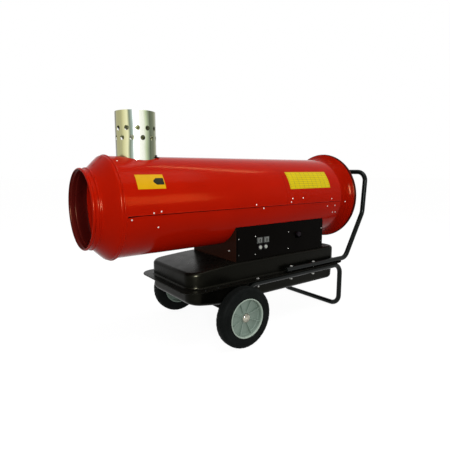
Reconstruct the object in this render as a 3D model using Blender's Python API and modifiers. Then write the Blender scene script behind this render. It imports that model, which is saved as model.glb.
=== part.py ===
"""Indirect fired heater on two wheels: turned sheet casing, flue, fuel tank, control box and tube frame.

Lengths are in metres. X runs from the warm air outlet back to the handle, -Y is the side with the
switches, and +Z is up. Stations along X are measured from the rim of the outlet, and one empty
moves the whole heater so that its middle is over the origin.
"""

import math

import bmesh
import bpy
from mathutils import Matrix, Vector

# Clearances shared by all pieces
gap = 0.0003
overrun = 0.010
merge_distance = 0.00001
smooth_angle = math.radians(32)
corner_steps = 3

# Casing
body_dia = 0.380
body_rise = 0.2425
casing_sheet = 0.0015
casing_rear = 1.225
cover_joint = 0.845
seam_drop = 0.0127
seam_lap = 0.016
casing_steps = 36
wheel_steps = 28

# Outlet cone
outlet_dia = 0.284
rim_bead = 0.0055
neck_swell = 0.0035
neck_length = 0.0265
cone_end = 0.085
band_width = 0.0165
bead_radius = 0.0035

# Inlet bell and its wire guard
bell_sleeve = 0.022
bell_length = 0.078
bell_flare = 0.027
rim_roll = 0.0075
guard_wire = 0.0022
guard_spoke = 0.0028
guard_disc_dia = 0.060
guard_clearance = 0.0020
guard_ring_count = 3
guard_spoke_count = 6

# Flue
flue_dia = 0.150
flue_station = 0.2213
flue_stand = 0.1631
flue_sheet = 0.0015
flue_hole_dia = 0.018
flue_holes = 12
flue_row_drop = 0.0629
flue_row_pitch = 0.0345
duct_dia = 0.126
duct_stand = 0.0467
flue_hole_clearance = 0.004
flue_drill_length_share = 0.3
flue_drill_start_share = 0.85
flue_hole_turn = math.radians(26)

# Heat exchanger and combustion chamber
exchanger_air_gap = 0.0367
exchanger_front = 0.120
exchanger_length = 0.690
exchanger_dome = 0.030
chamber_dia = 0.216
chamber_front = 0.185
chamber_rear = 0.842
plate_sheet = 0.002
support_front = 0.190
support_rear = 0.720
support_width = 0.030
support_angle = math.radians(50)
support_sheet = 0.003
gas_port_dia = 0.030
gas_port_station = 0.765
gas_ports = 6

# Burner
burner_tube_dia = 0.104
burner_tube_reach = 0.040
burner_flange_dia = 0.170
burner_flange_sheet = 0.004
burner_housing_dia = 0.150
burner_housing_rear = 0.965
burner_housing_rim = 0.012
nozzle_dia = 0.014
nozzle_line_dia = 0.010
nozzle_length = 0.032
electrode_dia = 0.005
electrode_offset = 0.020
electrode_length = 0.100
electrode_clamp = 0.014
nozzle_reach = 0.010
disc_sheet = 0.0015
disc_station = 0.822
disc_slots = 8
disc_slot_width = 0.004
disc_slot_inner = 0.030
disc_slot_outer = 0.044

# Pump, motor and fan
pump_length = 0.055
pump_side = 0.060
pump_round = 0.006
coupling_dia = 0.020
motor_dia = 0.110
motor_front = 1.060
motor_length = 0.130
motor_ribs = 3
motor_rib_depth = 0.003
motor_boss_dia = 0.050
motor_boss = 0.008
shaft_dia = 0.012
shaft_rear = 1.240
clamp_width = 0.020
clamp_sheet = 0.004
bracket_arm = 0.012
bracket_arms = 4
bracket_clearance = 0.0012
fan_tip_clearance = 0.0069
fan_hub_dia = 0.090
fan_hub_length = 0.032
fan_front = 1.203
fan_blades = 5
fan_blade_sheet = 0.002
fan_chord_root = 0.046
fan_chord_tip = 0.105
fan_pitch_root = math.radians(34)
fan_pitch_tip = math.radians(16)
fan_hub_round = 0.006
fan_camber = 0.05
fan_blade_stations = 3
fan_chord_points = 3

# Fuel tank: two pressed halves with a seam flange
tank_front = 0.347
tank_length = 0.872
tank_width = 0.360
tank_sheet = 0.002
tank_corner = 0.056
flange_corner = 0.066
tank_seam_rise = 0.1165
tank_top_rise = 0.0800
tank_nose_drop = 0.017
tank_nose_length = 0.235
tank_bottom_drop = 0.0850
tank_draft = 0.009
tank_top_round = 0.014
tank_bottom_round = 0.024
flange_width = 0.037
flange_root = 0.004
pan_nose_rise = 0.022
pan_nose_length = 0.145

# Filler, gauge and drain plug
filler_station = 1.171
filler_side = 0.112
filler_dia = 0.044
filler_height = 0.016
filler_sheet = 0.003
filler_foot = 0.062
cap_dia = 0.058
cap_height = 0.019
cap_round = 0.002
cap_clearance = 0.0008
cap_grips = 8
cap_grip = 0.0016
gauge_side = 0.020
gauge_dia = 0.040
gauge_height = 0.010
plug_station = 0.440
plug_across = 0.019
plug_height = 0.008
plug_collar_dia = 0.028
plug_collar = 0.002
plug_bore_dia = 0.014
plug_stem = 0.006
gauge_stem = 0.012

# Control box
box_front = 0.575
box_length = 0.547
box_width = 0.3324
box_top_drop = 0.0963
box_pinch = 0.0042
box_sheet = 0.0015
box_corner = 0.005
panel_margin = 0.008
panel_lip = 0.014
panel_top_drop = 0.0140
panel_foot = 0.0015

# Switches, buttons and thermostat socket, at stations from the front of the box
switch_length = 0.0315
switch_height = 0.026
switch_bezel = 0.002
switch_rim = 0.0015
switch_depth = 0.024
switch_wall = 0.0012
switch_pocket = 0.0125
rocker_back = 0.003
rocker_dish = 0.0012
button_wall = 0.0014
button_round = 0.0012
socket_lip = 0.004
socket_ring_rise = 0.0045
socket_depth = 0.006
switch_station = 0.1280
switch_pitch = 0.0390
switch_rise = 0.01335
rocker_tilt = math.radians(7)
rocker_proud = 0.0024
rocker_clearance = 0.0014
rocker_pivot_depth = 0.0065
rocker_height_clearance = 0.0006
button_dia = 0.018
button_rim = 0.0022
button_station = 0.1290
button_pitch = 0.0316
button_drop = 0.0300
button_collar_proud = 0.0040
button_collar_depth = 0.012
button_proud = 0.0080
button_travel = 0.0030
button_clearance = 0.0004
socket_length = 0.046
socket_height = 0.036
socket_sheet = 0.003
socket_station = 0.3685
socket_rise = 0.01435
socket_ring_dia = 0.026
socket_ring_sheet = 0.002
socket_ring_proud = 0.010
socket_ring_offset = 0.0060
socket_slot = 0.004
socket_slot_height = 0.020
gland_dia = 0.024
gland_length = 0.022
gland_bore = 0.0045
gland_sheet = 0.003
gland_flange = 0.006
gland_side = 0.090
gland_rise = 0.0352

# What the control box holds
transformer_size = Vector((0.110, 0.060, 0.055))
transformer_station = 0.060
transformer_side = 0.088
control_size = Vector((0.095, 0.055, 0.045))
control_station = 0.230
control_side = 0.092
inner_round = 0.003

# Fuel pipes
pipe_dia = 0.008
pipe_spread = 0.036
pipe_clearance = 0.003
supply_dip = 0.120
return_dip = 0.030

# Frame tubes
tube_dia = 0.024
tube_line = 0.200
tube_bend = 0.048
tube_sides = 4
leg_rear = 1.225
leg_knee = 0.636
handle_front = 0.836
handle_foot = 1.264
handle_kink = 1.394
handle_kink_rise = 0.22565
handle_top = 1.4085
handle_top_rise = 0.43605
handle_kink_bend = 0.060

# Frame bolts
bolt_dia = 0.008
bolt_head_dia = 0.0142
bolt_head = 0.0050
bolt_nut = 0.0060
bolt_front = 0.667
bolt_middle = 0.868
bolt_rear = 1.018

# Wheels
wheel_station = 0.5375
wheel_dia = 0.248
wheel_line = 0.265
tyre_width = 0.049
tread_width = 0.034
tyre_seat_dia = 0.156
tyre_shoulder = 0.012
rim_lip_dia = 0.160
rim_width = 0.052
rim_sheet = 0.004
rim_web = 0.005
rim_web_inset = 0.016
rim_ribs = 8
rim_rib = 0.004
rim_lip = 0.0025
rim_rib_height = 0.011
rim_boss_dia = 0.040
hub_reach = 0.0140
hub_cap_height = 0.0105
dome_shares = (0.82, 0.72, 0.45)
tyre_foot = 0.0035
tyre_side = 0.006
axle_end = 0.0055
axle_dia = 0.025
axle_stub_dia = 0.020
axle_shoulder = 0.2165
hub_cap_dia = 0.030
running = 0.0004

# Sizes that follow from those above
upper_r = body_dia / 2
upper_inner = upper_r - casing_sheet
lower_r = upper_inner - gap
lower_inner = lower_r - casing_sheet
band_inner = upper_r + gap
band_r = band_inner + casing_sheet
casing_front = cone_end + gap
bell_r = lower_inner - gap
bell_flare_end = casing_rear + bell_length
bell_rim_r = bell_r + bell_flare
exchanger_r = lower_inner - exchanger_air_gap
chamber_r = chamber_dia / 2
exchanger_rear = exchanger_front + exchanger_length
flue_r = flue_dia / 2
duct_r = duct_dia / 2
tube_r = tube_dia / 2
wheel_r = wheel_dia / 2
wheel_height = wheel_r
tank_seam_height = wheel_height + tank_seam_rise
tank_top_height = tank_seam_height + tank_top_rise
tank_bottom_height = tank_seam_height - tank_bottom_drop
tank_rear = tank_front + tank_length
tank_half = tank_width / 2
pan_nose = tank_front + pan_nose_length
pan_nose_tilt = math.atan2(pan_nose_rise, pan_nose_length)
plug_level = tank_bottom_height + pan_nose_rise * (pan_nose - plug_station) / pan_nose_length
flange_top = tank_seam_height + gap / 2 + tank_sheet
flange_bottom = tank_seam_height - gap / 2 - tank_sheet
bolt_stations = (bolt_middle, bolt_rear)
handle_level = flange_top + gap + tube_r
leg_level = flange_bottom - gap - tube_r
handle_kink_height = handle_level + handle_kink_rise
handle_top_height = handle_level + handle_top_rise
box_floor = tank_top_height + gap
body_height = box_floor + body_rise
flue_top = body_height + upper_r + flue_stand
duct_top = body_height + upper_r + duct_stand
box_top_height = body_height - box_top_drop
panel_top_height = box_top_height - panel_top_drop
panel_foot_height = box_floor + panel_foot
panel_middle = (panel_foot_height + panel_top_height) / 2
switch_level = panel_middle + switch_rise
button_level = switch_level - button_drop
socket_level = panel_middle + socket_rise
gland_level = box_floor + gland_rise
box_half = box_width / 2
box_rear = box_front + box_length
panel_inner = box_half + gap
panel_outer = panel_inner + box_sheet
panel_front = box_front + panel_margin
panel_rear = box_rear - panel_margin
pipe_station = burner_housing_rear + gap + pump_length / 2
middle = (handle_top + tube_r) / 2


def axis_frame(axis):
    """Rotation that turns an outline drawn in local XY, and its depth along Z, to face an axis."""
    return {
        "X": (math.pi / 2, 0, math.pi / 2),
        "Y": (math.pi / 2, 0, 0),
        "Z": (0, 0, 0),
    }[axis]


def clear_scene():
    for item in list(bpy.data.objects):
        bpy.data.objects.remove(item, do_unlink=True)


def new_collection(name):
    group = bpy.data.collections.new(name)
    bpy.context.scene.collection.children.link(group)
    return group


clear_scene()
heater = new_collection("indirect_fired_heater")
cutters = new_collection("cutters")
datum = bpy.data.objects.new("datum", None)
datum.location = (-middle, 0, 0)
heater.objects.link(datum)

finishes = {
    "red_paint": ((0.42, 0.010, 0.004), 0.28, 0.0),
    "red_inside": ((0.22, 0.008, 0.004), 0.45, 0.0),
    "black_gloss": ((0.010, 0.010, 0.010), 0.22, 0.0),
    "black_satin": ((0.012, 0.012, 0.011), 0.45, 0.0),
    "galvanised": ((0.62, 0.62, 0.60), 0.30, 1.0),
    "plain_steel": ((0.36, 0.35, 0.34), 0.42, 1.0),
    "zinc": ((0.70, 0.70, 0.68), 0.30, 1.0),
    "chrome": ((0.80, 0.80, 0.80), 0.08, 1.0),
    "brass": ((0.62, 0.44, 0.16), 0.35, 1.0),
    "aluminium": ((0.60, 0.61, 0.62), 0.38, 1.0),
    "grey_plastic": ((0.30, 0.36, 0.31), 0.50, 0.0),
    "switch_grey": ((0.22, 0.23, 0.22), 0.40, 0.0),
    "button_grey": ((0.50, 0.53, 0.50), 0.40, 0.0),
    "black_plastic": ((0.016, 0.016, 0.016), 0.40, 0.0),
    "white_plastic": ((0.70, 0.70, 0.66), 0.45, 0.0),
    "rubber": ((0.035, 0.042, 0.038), 0.75, 0.0),
    "ceramic": ((0.80, 0.78, 0.72), 0.35, 0.0),
    "copper": ((0.70, 0.33, 0.20), 0.32, 1.0),
}


def material_for(name, finish):
    """Each piece has its own material, in one of the finishes above."""
    colour, roughness, metallic = finishes[finish]
    material = bpy.data.materials.new(name)
    material.use_nodes = True
    shader = material.node_tree.nodes["Principled BSDF"]
    shader.inputs["Base Color"].default_value = (*colour, 1.0)
    shader.inputs["Roughness"].default_value = roughness
    shader.inputs["Metallic"].default_value = metallic
    material.diffuse_color = (*colour, 1.0)
    return material


def place(item, location=(0, 0, 0), rotation=(0, 0, 0), finish=None):
    """Links an object to the heater, or to the cutters when it has no finish."""
    item.location = location
    item.rotation_euler = rotation
    item.parent = datum
    if finish:
        item.data.materials.append(material_for(item.name, finish))
        heater.objects.link(item)
    else:
        item.hide_render = True
        item.display_type = "WIRE"
        cutters.objects.link(item)
    return item


def mesh_from(source, name):
    """The evaluated shape of a scratch object as a welded mesh, and the scratch object removed."""
    bpy.context.scene.collection.objects.link(source)
    graph = bpy.context.evaluated_depsgraph_get()
    mesh = bpy.data.meshes.new_from_object(source.evaluated_get(graph))
    bpy.data.objects.remove(source, do_unlink=True)
    work = bmesh.new()
    work.from_mesh(mesh)
    bmesh.ops.remove_doubles(work, verts=work.verts, dist=merge_distance)
    work.to_mesh(mesh)
    work.free()
    mesh.name = name
    return smoothed(mesh)


def smoothed(mesh):
    mesh.shade_smooth()
    mesh.set_sharp_from_angle(angle=smooth_angle)
    return mesh


def mesh_of(work, name):
    """A finished mesh from a bmesh, with its faces pointing out."""
    bmesh.ops.recalc_face_normals(work, faces=work.faces)
    mesh = bpy.data.meshes.new(name)
    work.to_mesh(mesh)
    work.free()
    return smoothed(mesh)


def joined(meshes, name):
    """Several separate solids as one mesh."""
    work = bmesh.new()
    for mesh in meshes:
        work.from_mesh(mesh)
    result = bpy.data.meshes.new(name)
    work.to_mesh(result)
    work.free()
    return smoothed(result)


def moved(mesh, offset=(0, 0, 0), turn=0.0, axis="Z"):
    """A copy of a mesh turned about an axis and then shifted."""
    copy = mesh.copy()
    copy.transform(Matrix.Translation(offset) @ Matrix.Rotation(turn, 4, axis))
    return copy


def sheet_profile(skin, sheet):
    """Closes the outer skin of a turned sheet with a line set in from it by the sheet's thickness."""
    inside = []
    for i, point in enumerate(skin):
        normals = []
        for a, b in ((i - 1, i), (i, i + 1)):
            if 0 <= a and b < len(skin):
                run, rise = skin[b][0] - skin[a][0], skin[b][1] - skin[a][1]
                normals.append(Vector((rise, -run)).normalized())
        mean = sum(normals, Vector((0, 0))).normalized()
        reach = sheet / mean.dot(normals[0])
        inside.append((point[0] + mean.x * reach, point[1] + mean.y * reach))
    return skin + inside[::-1]


def turned_mesh(name, profile, steps, sheet=None, closed=False, sweep=math.tau):
    """Turns (height, radius) points about Z. With a sheet thickness, the profile is the outer skin."""
    if sheet:
        profile, closed = sheet_profile(profile, sheet), True
    points = [(radius, 0, height) for height, radius in profile]
    area = sum(a[0] * b[2] - b[0] * a[2] for a, b in zip(points, points[1:] + points[:1]))
    touches_axis = min(point[0] for point in points) < merge_distance
    solid_profile = closed or touches_axis
    if (area > 0) if solid_profile else (points[0][2] < points[-1][2]):
        points.reverse()
    edges = [(i, i + 1) for i in range(len(points) - 1)]
    if closed:
        edges.append((len(points) - 1, 0))
    mesh = bpy.data.meshes.new(name)
    mesh.from_pydata(points, edges, [])
    source = bpy.data.objects.new(name, mesh)
    screw = source.modifiers.new("turn", "SCREW")
    screw.angle = sweep
    screw.steps = steps
    screw.render_steps = steps
    screw.use_merge_vertices = True
    screw.merge_threshold = merge_distance
    screw.use_smooth_shade = True
    return mesh_from(source, name)


def outline_mesh(name, loops, depth):
    """Closed (x, y) loops, the first outside and the rest holes or islands, extruded by a depth."""
    curve = bpy.data.curves.new(name, "CURVE")
    curve.dimensions = "2D"
    curve.fill_mode = "BOTH"
    curve.extrude = depth / 2
    for loop in loops:
        spline = curve.splines.new("POLY")
        spline.points.add(len(loop) - 1)
        for point, (x, y) in zip(spline.points, loop):
            point.co = (x, y, 0, 1)
        spline.use_cyclic_u = True
    return mesh_from(bpy.data.objects.new(name, curve), name)


def tube_mesh(name, points, radius, sides=tube_sides):
    """A round bar along a list of points."""
    curve = bpy.data.curves.new(name, "CURVE")
    curve.dimensions = "3D"
    curve.bevel_depth = radius
    curve.bevel_resolution = sides - 2
    curve.use_fill_caps = True
    spline = curve.splines.new("POLY")
    spline.points.add(len(points) - 1)
    for point, spot in zip(spline.points, points):
        point.co = (*spot, 1)
    return mesh_from(bpy.data.objects.new(name, curve), name)


def box_mesh(name, low, high, rounding=0.0, segments=2):
    """A block between two corners, with its edges rounded."""
    low, high = Vector(low), Vector(high)
    work = bmesh.new()
    bmesh.ops.create_cube(work, size=1.0)
    bmesh.ops.scale(work, vec=high - low, verts=work.verts)
    bmesh.ops.translate(work, vec=(low + high) / 2, verts=work.verts)
    if rounding:
        bmesh.ops.bevel(work, geom=work.edges[:], offset=rounding, segments=segments, affect="EDGES", profile=0.5)
    return mesh_of(work, name)


def solid(name, mesh, finish=None, location=(0, 0, 0), rotation=(0, 0, 0)):
    mesh.name = name
    return place(bpy.data.objects.new(name, mesh), location, rotation, finish)


def cut(target, *tools, operation="DIFFERENCE"):
    """Cuts a piece with its tools, or joins them to it."""
    for tool in tools:
        step = target.modifiers.new(tool.name, "BOOLEAN")
        step.operation = operation
        step.solver = "EXACT"
        step.object = tool
    return target


def join(target, *tools):
    return cut(target, *tools, operation="UNION")


def turned(name, profile, finish, x, y=0.0, z=body_height, axis="X", steps=casing_steps, **options):
    """A piece turned about an axis through (x, y, z)."""
    mesh = turned_mesh(name, profile, steps, **options)
    frame = {"X": (0, math.pi / 2, 0), "Y": (math.pi / 2, 0, 0), "Z": (0, 0, 0)}[axis]
    return solid(name, mesh, finish, (x, y, z), frame)


def cylinder_profile(length, radius, start=0.0):
    return [(start, 0.0), (start, radius), (start + length, radius), (start + length, 0.0)]


def ring_profile(start, end, inner, outer):
    return [(start, inner), (start, outer), (end, outer), (end, inner)]


def bead(centre, base, radius, steps=2, sweep=math.pi):
    """Points of a bead that bulges out of a turned sheet."""
    angles = [math.pi - sweep * i / steps for i in range(steps + 1)]
    return [(centre + radius * math.cos(a), base + radius * math.sin(a)) for a in angles]


def arc_points(radius, start, end, steps):
    angles = [start + (end - start) * i / steps for i in range(steps + 1)]
    return [(radius * math.cos(a), radius * math.sin(a)) for a in angles]


def sector(inner, outer, start, end):
    """The outline of a curved sheet between two radii, with its corners where turned pieces have theirs."""
    pitch = math.tau / casing_steps
    first, last = math.ceil(start / pitch + pitch / 10), math.floor(end / pitch - pitch / 10)
    angles = [start] + [pitch * i for i in range(first, last + 1)] + [end]
    reach = [math.cos(pitch / 2) / math.cos(a % pitch - pitch / 2) for a in angles]
    out = [(outer * k * math.cos(a), outer * k * math.sin(a)) for a, k in zip(angles, reach)]
    back = [(inner * k * math.cos(a), inner * k * math.sin(a)) for a, k in zip(angles, reach)]
    return out + back[::-1]


def rounded_path(corners, bends, steps=6):
    """A polyline whose inner corners are replaced by arcs of the given radii."""
    corners = [Vector(corner) for corner in corners]
    path = [corners[0]]
    for before, corner, after, bend in zip(corners, corners[1:], corners[2:], bends):
        back = (before - corner).normalized()
        ahead = (after - corner).normalized()
        half = back.angle(ahead) / 2
        reach = bend / math.tan(half)
        centre = corner + (back + ahead).normalized() * (bend / math.sin(half))
        start = corner + back * reach - centre
        turn = math.pi - 2 * half
        for i in range(steps + 1):
            angle = turn * i / steps
            path.append(centre + start * math.cos(angle) - back * bend * math.sin(angle))
    path.append(corners[-1])
    return path


def rounded_rectangle(x0, x1, y0, y1, radius, steps=5):
    corners = ((x1 - radius, y1 - radius, 0), (x0 + radius, y1 - radius, 1),
               (x0 + radius, y0 + radius, 2), (x1 - radius, y0 + radius, 3))
    loop = []
    for cx, cy, quarter in corners:
        start = quarter * math.pi / 2
        loop += [(cx + px, cy + py) for px, py in arc_points(radius, start, start + math.pi / 2, steps)]
    return loop


# Casing shells. Their section is drawn in (y, z), with angles from +Y over the top to -Y.
def make_casing():
    seam_angle = math.asin(seam_drop / upper_r)
    lap_angle = seam_lap / lower_r
    span = casing_rear - casing_front
    upper = sector(upper_inner, upper_r, -seam_angle, math.pi + seam_angle)
    lower_start = math.pi + seam_angle - lap_angle
    lower = sector(lower_inner, lower_r, lower_start, math.tau + lap_angle - seam_angle)
    front_length = cover_joint - gap / 2 - casing_front
    rear_length = casing_rear - cover_joint - gap / 2
    front = solid(
        "upper_front_shell", outline_mesh("upper_front_shell", [upper], front_length), "red_paint",
        (casing_front + front_length / 2, 0, body_height), axis_frame("X"))
    solid(
        "upper_rear_cover", outline_mesh("upper_rear_cover", [upper], rear_length), "red_paint",
        (casing_rear - rear_length / 2, 0, body_height), axis_frame("X"))
    lower_shell = solid(
        "lower_shell", outline_mesh("lower_shell", [lower], span), "red_paint",
        (casing_front + span / 2, 0, body_height), axis_frame("X"))
    cut(front, turned("flue_opening_cutter", cylinder_profile(upper_r + overrun, duct_r + flue_hole_clearance),
                      None, flue_station, axis="Z", steps=24))
    slot = box_mesh(
        "pipe_slot_cutter",
        (pipe_station - pipe_dia - pipe_clearance, -pipe_spread / 2 - pipe_dia - pipe_clearance,
         body_height - upper_r - overrun),
        (pipe_station + pipe_dia + pipe_clearance, pipe_spread / 2 + pipe_dia + pipe_clearance,
         body_height - lower_inner + overrun))
    cut(lower_shell, solid("pipe_slot_cutter", slot))


def make_outlet():
    neck_r = outlet_dia / 2
    line = bead(rim_bead, neck_r, rim_bead)
    line += bead(neck_length, neck_r + neck_swell, bead_radius)
    line += [(cone_end, band_r)]
    line += [(cone_end + band_width, band_r)]
    turned("outlet_cone", line, "red_paint", 0.0, sheet=casing_sheet)


def flare_points(steps=4):
    """The bell opens along an arc that leaves the sleeve straight back."""
    radius = (bell_length ** 2 + bell_flare ** 2) / (2 * bell_flare)
    end = math.asin(bell_length / radius)
    angles = [end * i / steps for i in range(1, steps + 1)]
    return [(casing_rear + radius * math.sin(a), bell_r + radius * (1 - math.cos(a))) for a in angles]


def make_inlet():
    line = [(casing_rear - bell_sleeve, bell_r), (casing_rear, bell_r)] + flare_points()
    line += bead(bell_flare_end + rim_roll, bell_rim_r, rim_roll, 3, math.radians(200))[1:]
    turned("inlet_bell", line, "red_paint", 0.0, sheet=casing_sheet)
    make_guard()


def wire_ring(name, radius, wire, steps=18):
    section = [(wire * math.cos(a), radius + wire * math.sin(a))
               for a in (math.tau * i / 4 for i in range(4))]
    return turned_mesh(name, section, steps, closed=True)


def make_guard():
    """Wire guard: rings and a centre disc, with the spokes laid through them."""
    station = bell_flare_end + rim_roll
    outer = bell_rim_r + rim_roll - casing_sheet - guard_wire - guard_clearance
    disc_r = guard_disc_dia / 2
    pitch = (outer - disc_r) / guard_ring_count
    rings = [wire_ring("ring", outer - pitch * i, guard_wire) for i in range(guard_ring_count)]
    rings.append(turned_mesh("disc", cylinder_profile(2 * guard_wire, disc_r, -guard_wire), 12))
    guard = solid("inlet_guard", joined(rings, "inlet_guard"), "black_satin",
                  (station, 0, body_height), (0, math.pi / 2, 0))
    inner_end = disc_r - guard_spoke
    spoke = tube_mesh("spoke", [(inner_end, 0, 0), (outer, 0, 0)], guard_spoke, sides=2)
    spokes = [moved(spoke, turn=math.tau * (i + 0.5) / guard_spoke_count) for i in range(guard_spoke_count)]
    join(guard, solid("guard_spokes_union", joined(spokes, "guard_spokes_union"), None,
                      (station, 0, body_height), (0, math.pi / 2, 0)))


# Flue: a perforated sleeve outside, and the duct of the heat exchanger inside it.
def make_flue():
    base = body_height + upper_r / 2
    sleeve = turned("flue_sleeve", ring_profile(base, flue_top, flue_r - flue_sheet, flue_r), "galvanised",
                    flue_station, z=0.0, axis="Z", steps=28, closed=True)
    holes = []
    for row in range(2):
        height = flue_top - flue_row_drop - flue_row_pitch * (1 - row)
        for number in range(flue_holes):
            angle = flue_hole_turn + math.tau * (number + row / 2) / flue_holes
            drill = turned_mesh("drill", cylinder_profile(flue_r * flue_drill_length_share, flue_hole_dia / 2,
                                                          flue_r * flue_drill_start_share), 8)
            drill.transform(Matrix.Translation((0, 0, height)) @ Matrix.Rotation(angle, 4, "Z")
                            @ Matrix.Rotation(math.pi / 2, 4, "Y"))
            holes.append(drill)
    cut(sleeve,
        turned("sleeve_saddle_cutter", cylinder_profile(flue_station + flue_dia + overrun, upper_r + gap, 0.0),
               None, 0.0, steps=72),
        solid("flue_holes_cutter", joined(holes, "flue_holes_cutter"), None, (flue_station, 0, 0)))
    duct = turned("flue_duct", ring_profile(body_height + exchanger_r / 2, duct_top, duct_r - plate_sheet, duct_r),
                  "galvanised", flue_station, z=0.0, axis="Z", steps=24, closed=True)
    cut(duct, turned("duct_saddle_cutter", cylinder_profile(flue_station + duct_dia, exchanger_r + gap),
                     None, 0.0, steps=72))


# Heat exchanger, combustion chamber and the saddles that carry them in the lower shell
def make_exchanger():
    inner = chamber_r + gap
    shell = exchanger_r - plate_sheet
    front_inner = exchanger_front + plate_sheet
    profile = [
        (exchanger_front, 0.0), (exchanger_front, exchanger_r - exchanger_dome),
        (exchanger_front + exchanger_dome / 2, exchanger_r - exchanger_dome / 4),
        (exchanger_front + exchanger_dome, exchanger_r), (exchanger_rear, exchanger_r),
        (exchanger_rear, inner), (exchanger_rear - plate_sheet, inner), (exchanger_rear - plate_sheet, shell),
        (exchanger_front + exchanger_dome, shell), (exchanger_front + exchanger_dome / 2, shell - exchanger_dome / 4),
        (front_inner, shell - exchanger_dome), (front_inner, 0.0),
    ]
    exchanger = turned("heat_exchanger", profile, "plain_steel", 0.0, steps=casing_steps)
    cut(exchanger, turned("duct_opening_cutter", cylinder_profile(exchanger_r + overrun, duct_r - plate_sheet),
                          None, flue_station, axis="Z", steps=24))
    opening = burner_tube_dia / 2 + gap
    front_step = chamber_front + plate_sheet
    rear_step = chamber_rear - plate_sheet
    profile = [
        (chamber_front, 0.0), (chamber_front, chamber_r), (chamber_rear, chamber_r), (chamber_rear, opening),
        (rear_step, opening), (rear_step, chamber_r - plate_sheet), (front_step, chamber_r - plate_sheet),
        (front_step, 0.0),
    ]
    chamber = turned("combustion_chamber", profile, "plain_steel", 0.0, steps=casing_steps)
    port = turned_mesh("port", cylinder_profile(chamber_r + overrun - burner_flange_dia / 2, gas_port_dia / 2,
                                                burner_flange_dia / 2), 10)
    ports = [moved(port, turn=math.tau * (i + 0.5) / gas_ports, axis="X") for i in range(gas_ports)]
    cut(chamber, solid("gas_ports_cutter", joined(ports, "gas_ports_cutter"), None,
                       (gas_port_station, 0, body_height)))
    make_support("exchanger_support_front", support_front)
    make_support("exchanger_support_rear", support_rear)


def make_support(name, station):
    """A cradle of two curved straps and three webs, so that air still passes through it."""
    inner, outer = exchanger_r + gap, lower_inner - gap
    down = -math.pi / 2
    loops = [sector(inner, outer, down - support_angle, down + support_angle)]
    web = support_sheet / inner / 2
    for start, end in ((down - support_angle + 2 * web, down - web), (down + web, down + support_angle - 2 * web)):
        loops.append(sector(inner + support_sheet, outer - support_sheet, start, end))
    solid(name, outline_mesh(name, loops, support_width), "plain_steel", (station, 0, body_height), axis_frame("X"))


# Burner: blast tube with its flange, housing, baffle disc, nozzle line and electrodes
def make_burner():
    outer = burner_tube_dia / 2
    bore = outer - plate_sheet
    flange = chamber_rear + gap
    flange_end = flange + burner_flange_sheet
    tube = [
        (chamber_rear - burner_tube_reach, bore), (chamber_rear - burner_tube_reach, outer),
        (flange, outer), (flange, burner_flange_dia / 2), (flange_end, burner_flange_dia / 2), (flange_end, bore),
    ]
    turned("burner_tube", tube, "plain_steel", 0.0, closed=True, steps=casing_steps)
    housing_r = burner_housing_dia / 2
    front = flange_end + gap
    rim = housing_r + burner_housing_rim
    line_bore = nozzle_line_dia / 2 + gap
    housing = [
        (front, bore), (front, rim), (front + plate_sheet, rim), (front + plate_sheet, housing_r),
        (burner_housing_rear, housing_r), (burner_housing_rear, line_bore),
        (burner_housing_rear - plate_sheet, line_bore), (burner_housing_rear - plate_sheet, housing_r - plate_sheet),
        (front + 2 * plate_sheet, housing_r - plate_sheet), (front + 2 * plate_sheet, bore),
    ]
    turned("burner_housing", housing, "aluminium", 0.0, closed=True, steps=20)
    nozzle_front = disc_station - nozzle_reach
    nozzle_end = nozzle_front + nozzle_length
    nozzle = [
        (nozzle_front, 0.0), (nozzle_front, nozzle_dia / 4), (nozzle_front + nozzle_dia / 4, nozzle_dia / 2),
        (nozzle_end, nozzle_dia / 2), (nozzle_end, nozzle_line_dia / 2),
        (burner_housing_rear, nozzle_line_dia / 2), (burner_housing_rear, 0.0),
    ]
    turned("fuel_nozzle", nozzle, "brass", 0.0, steps=16)
    rod_start = disc_station - nozzle_reach
    rods = [moved(turned_mesh("rod", cylinder_profile(electrode_length, electrode_dia / 2, rod_start), 10),
                  (0, side * electrode_offset, 0)) for side in (-1, 1)]
    half = electrode_offset + electrode_dia
    clamp_front = rod_start + electrode_length - 2 * electrode_clamp
    clamp = box_mesh("clamp", (-nozzle_line_dia, -half, clamp_front), (nozzle_line_dia, half,
                     clamp_front + electrode_clamp), inner_round / 2, 1)
    frame = ((0, 0, body_height), (0, math.pi / 2, 0))
    electrodes = solid("ignition_electrodes", clamp, "ceramic", *frame)
    join(electrodes, solid("electrode_rods", joined(rods, "electrode_rods"), None, *frame))
    cut(electrodes, turned("electrode_line_cutter",
                           cylinder_profile(2 * electrode_clamp, line_bore, clamp_front - electrode_clamp / 2),
                           None, 0.0, steps=16))
    make_disc(bore)


def make_disc(bore):
    """The baffle disc has radial slots, and holes for the nozzle and the electrodes."""
    loops = [arc_points(bore - gap, 0, math.tau * (1 - 1 / 24), 23)]
    loops.append(arc_points(nozzle_dia / 2 + gap, 0, math.tau * (1 - 1 / 12), 11))
    for side in (-1, 1):
        hole = arc_points(electrode_dia / 2 + gap, 0, math.tau * (1 - 1 / 10), 9)
        loops.append([(x + side * electrode_offset, y) for x, y in hole])
    for i in range(disc_slots):
        angle = math.tau * (i + 0.5) / disc_slots
        half = disc_slot_width / 2
        corners = ((disc_slot_inner, -half), (disc_slot_outer, -half), (disc_slot_outer, half), (disc_slot_inner, half))
        loops.append([(x * math.cos(angle) - y * math.sin(angle), x * math.sin(angle) + y * math.cos(angle))
                      for x, y in corners])
    solid("baffle_disc", outline_mesh("baffle_disc", loops, disc_sheet), "plain_steel",
          (disc_station, 0, body_height), axis_frame("X"))


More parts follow.
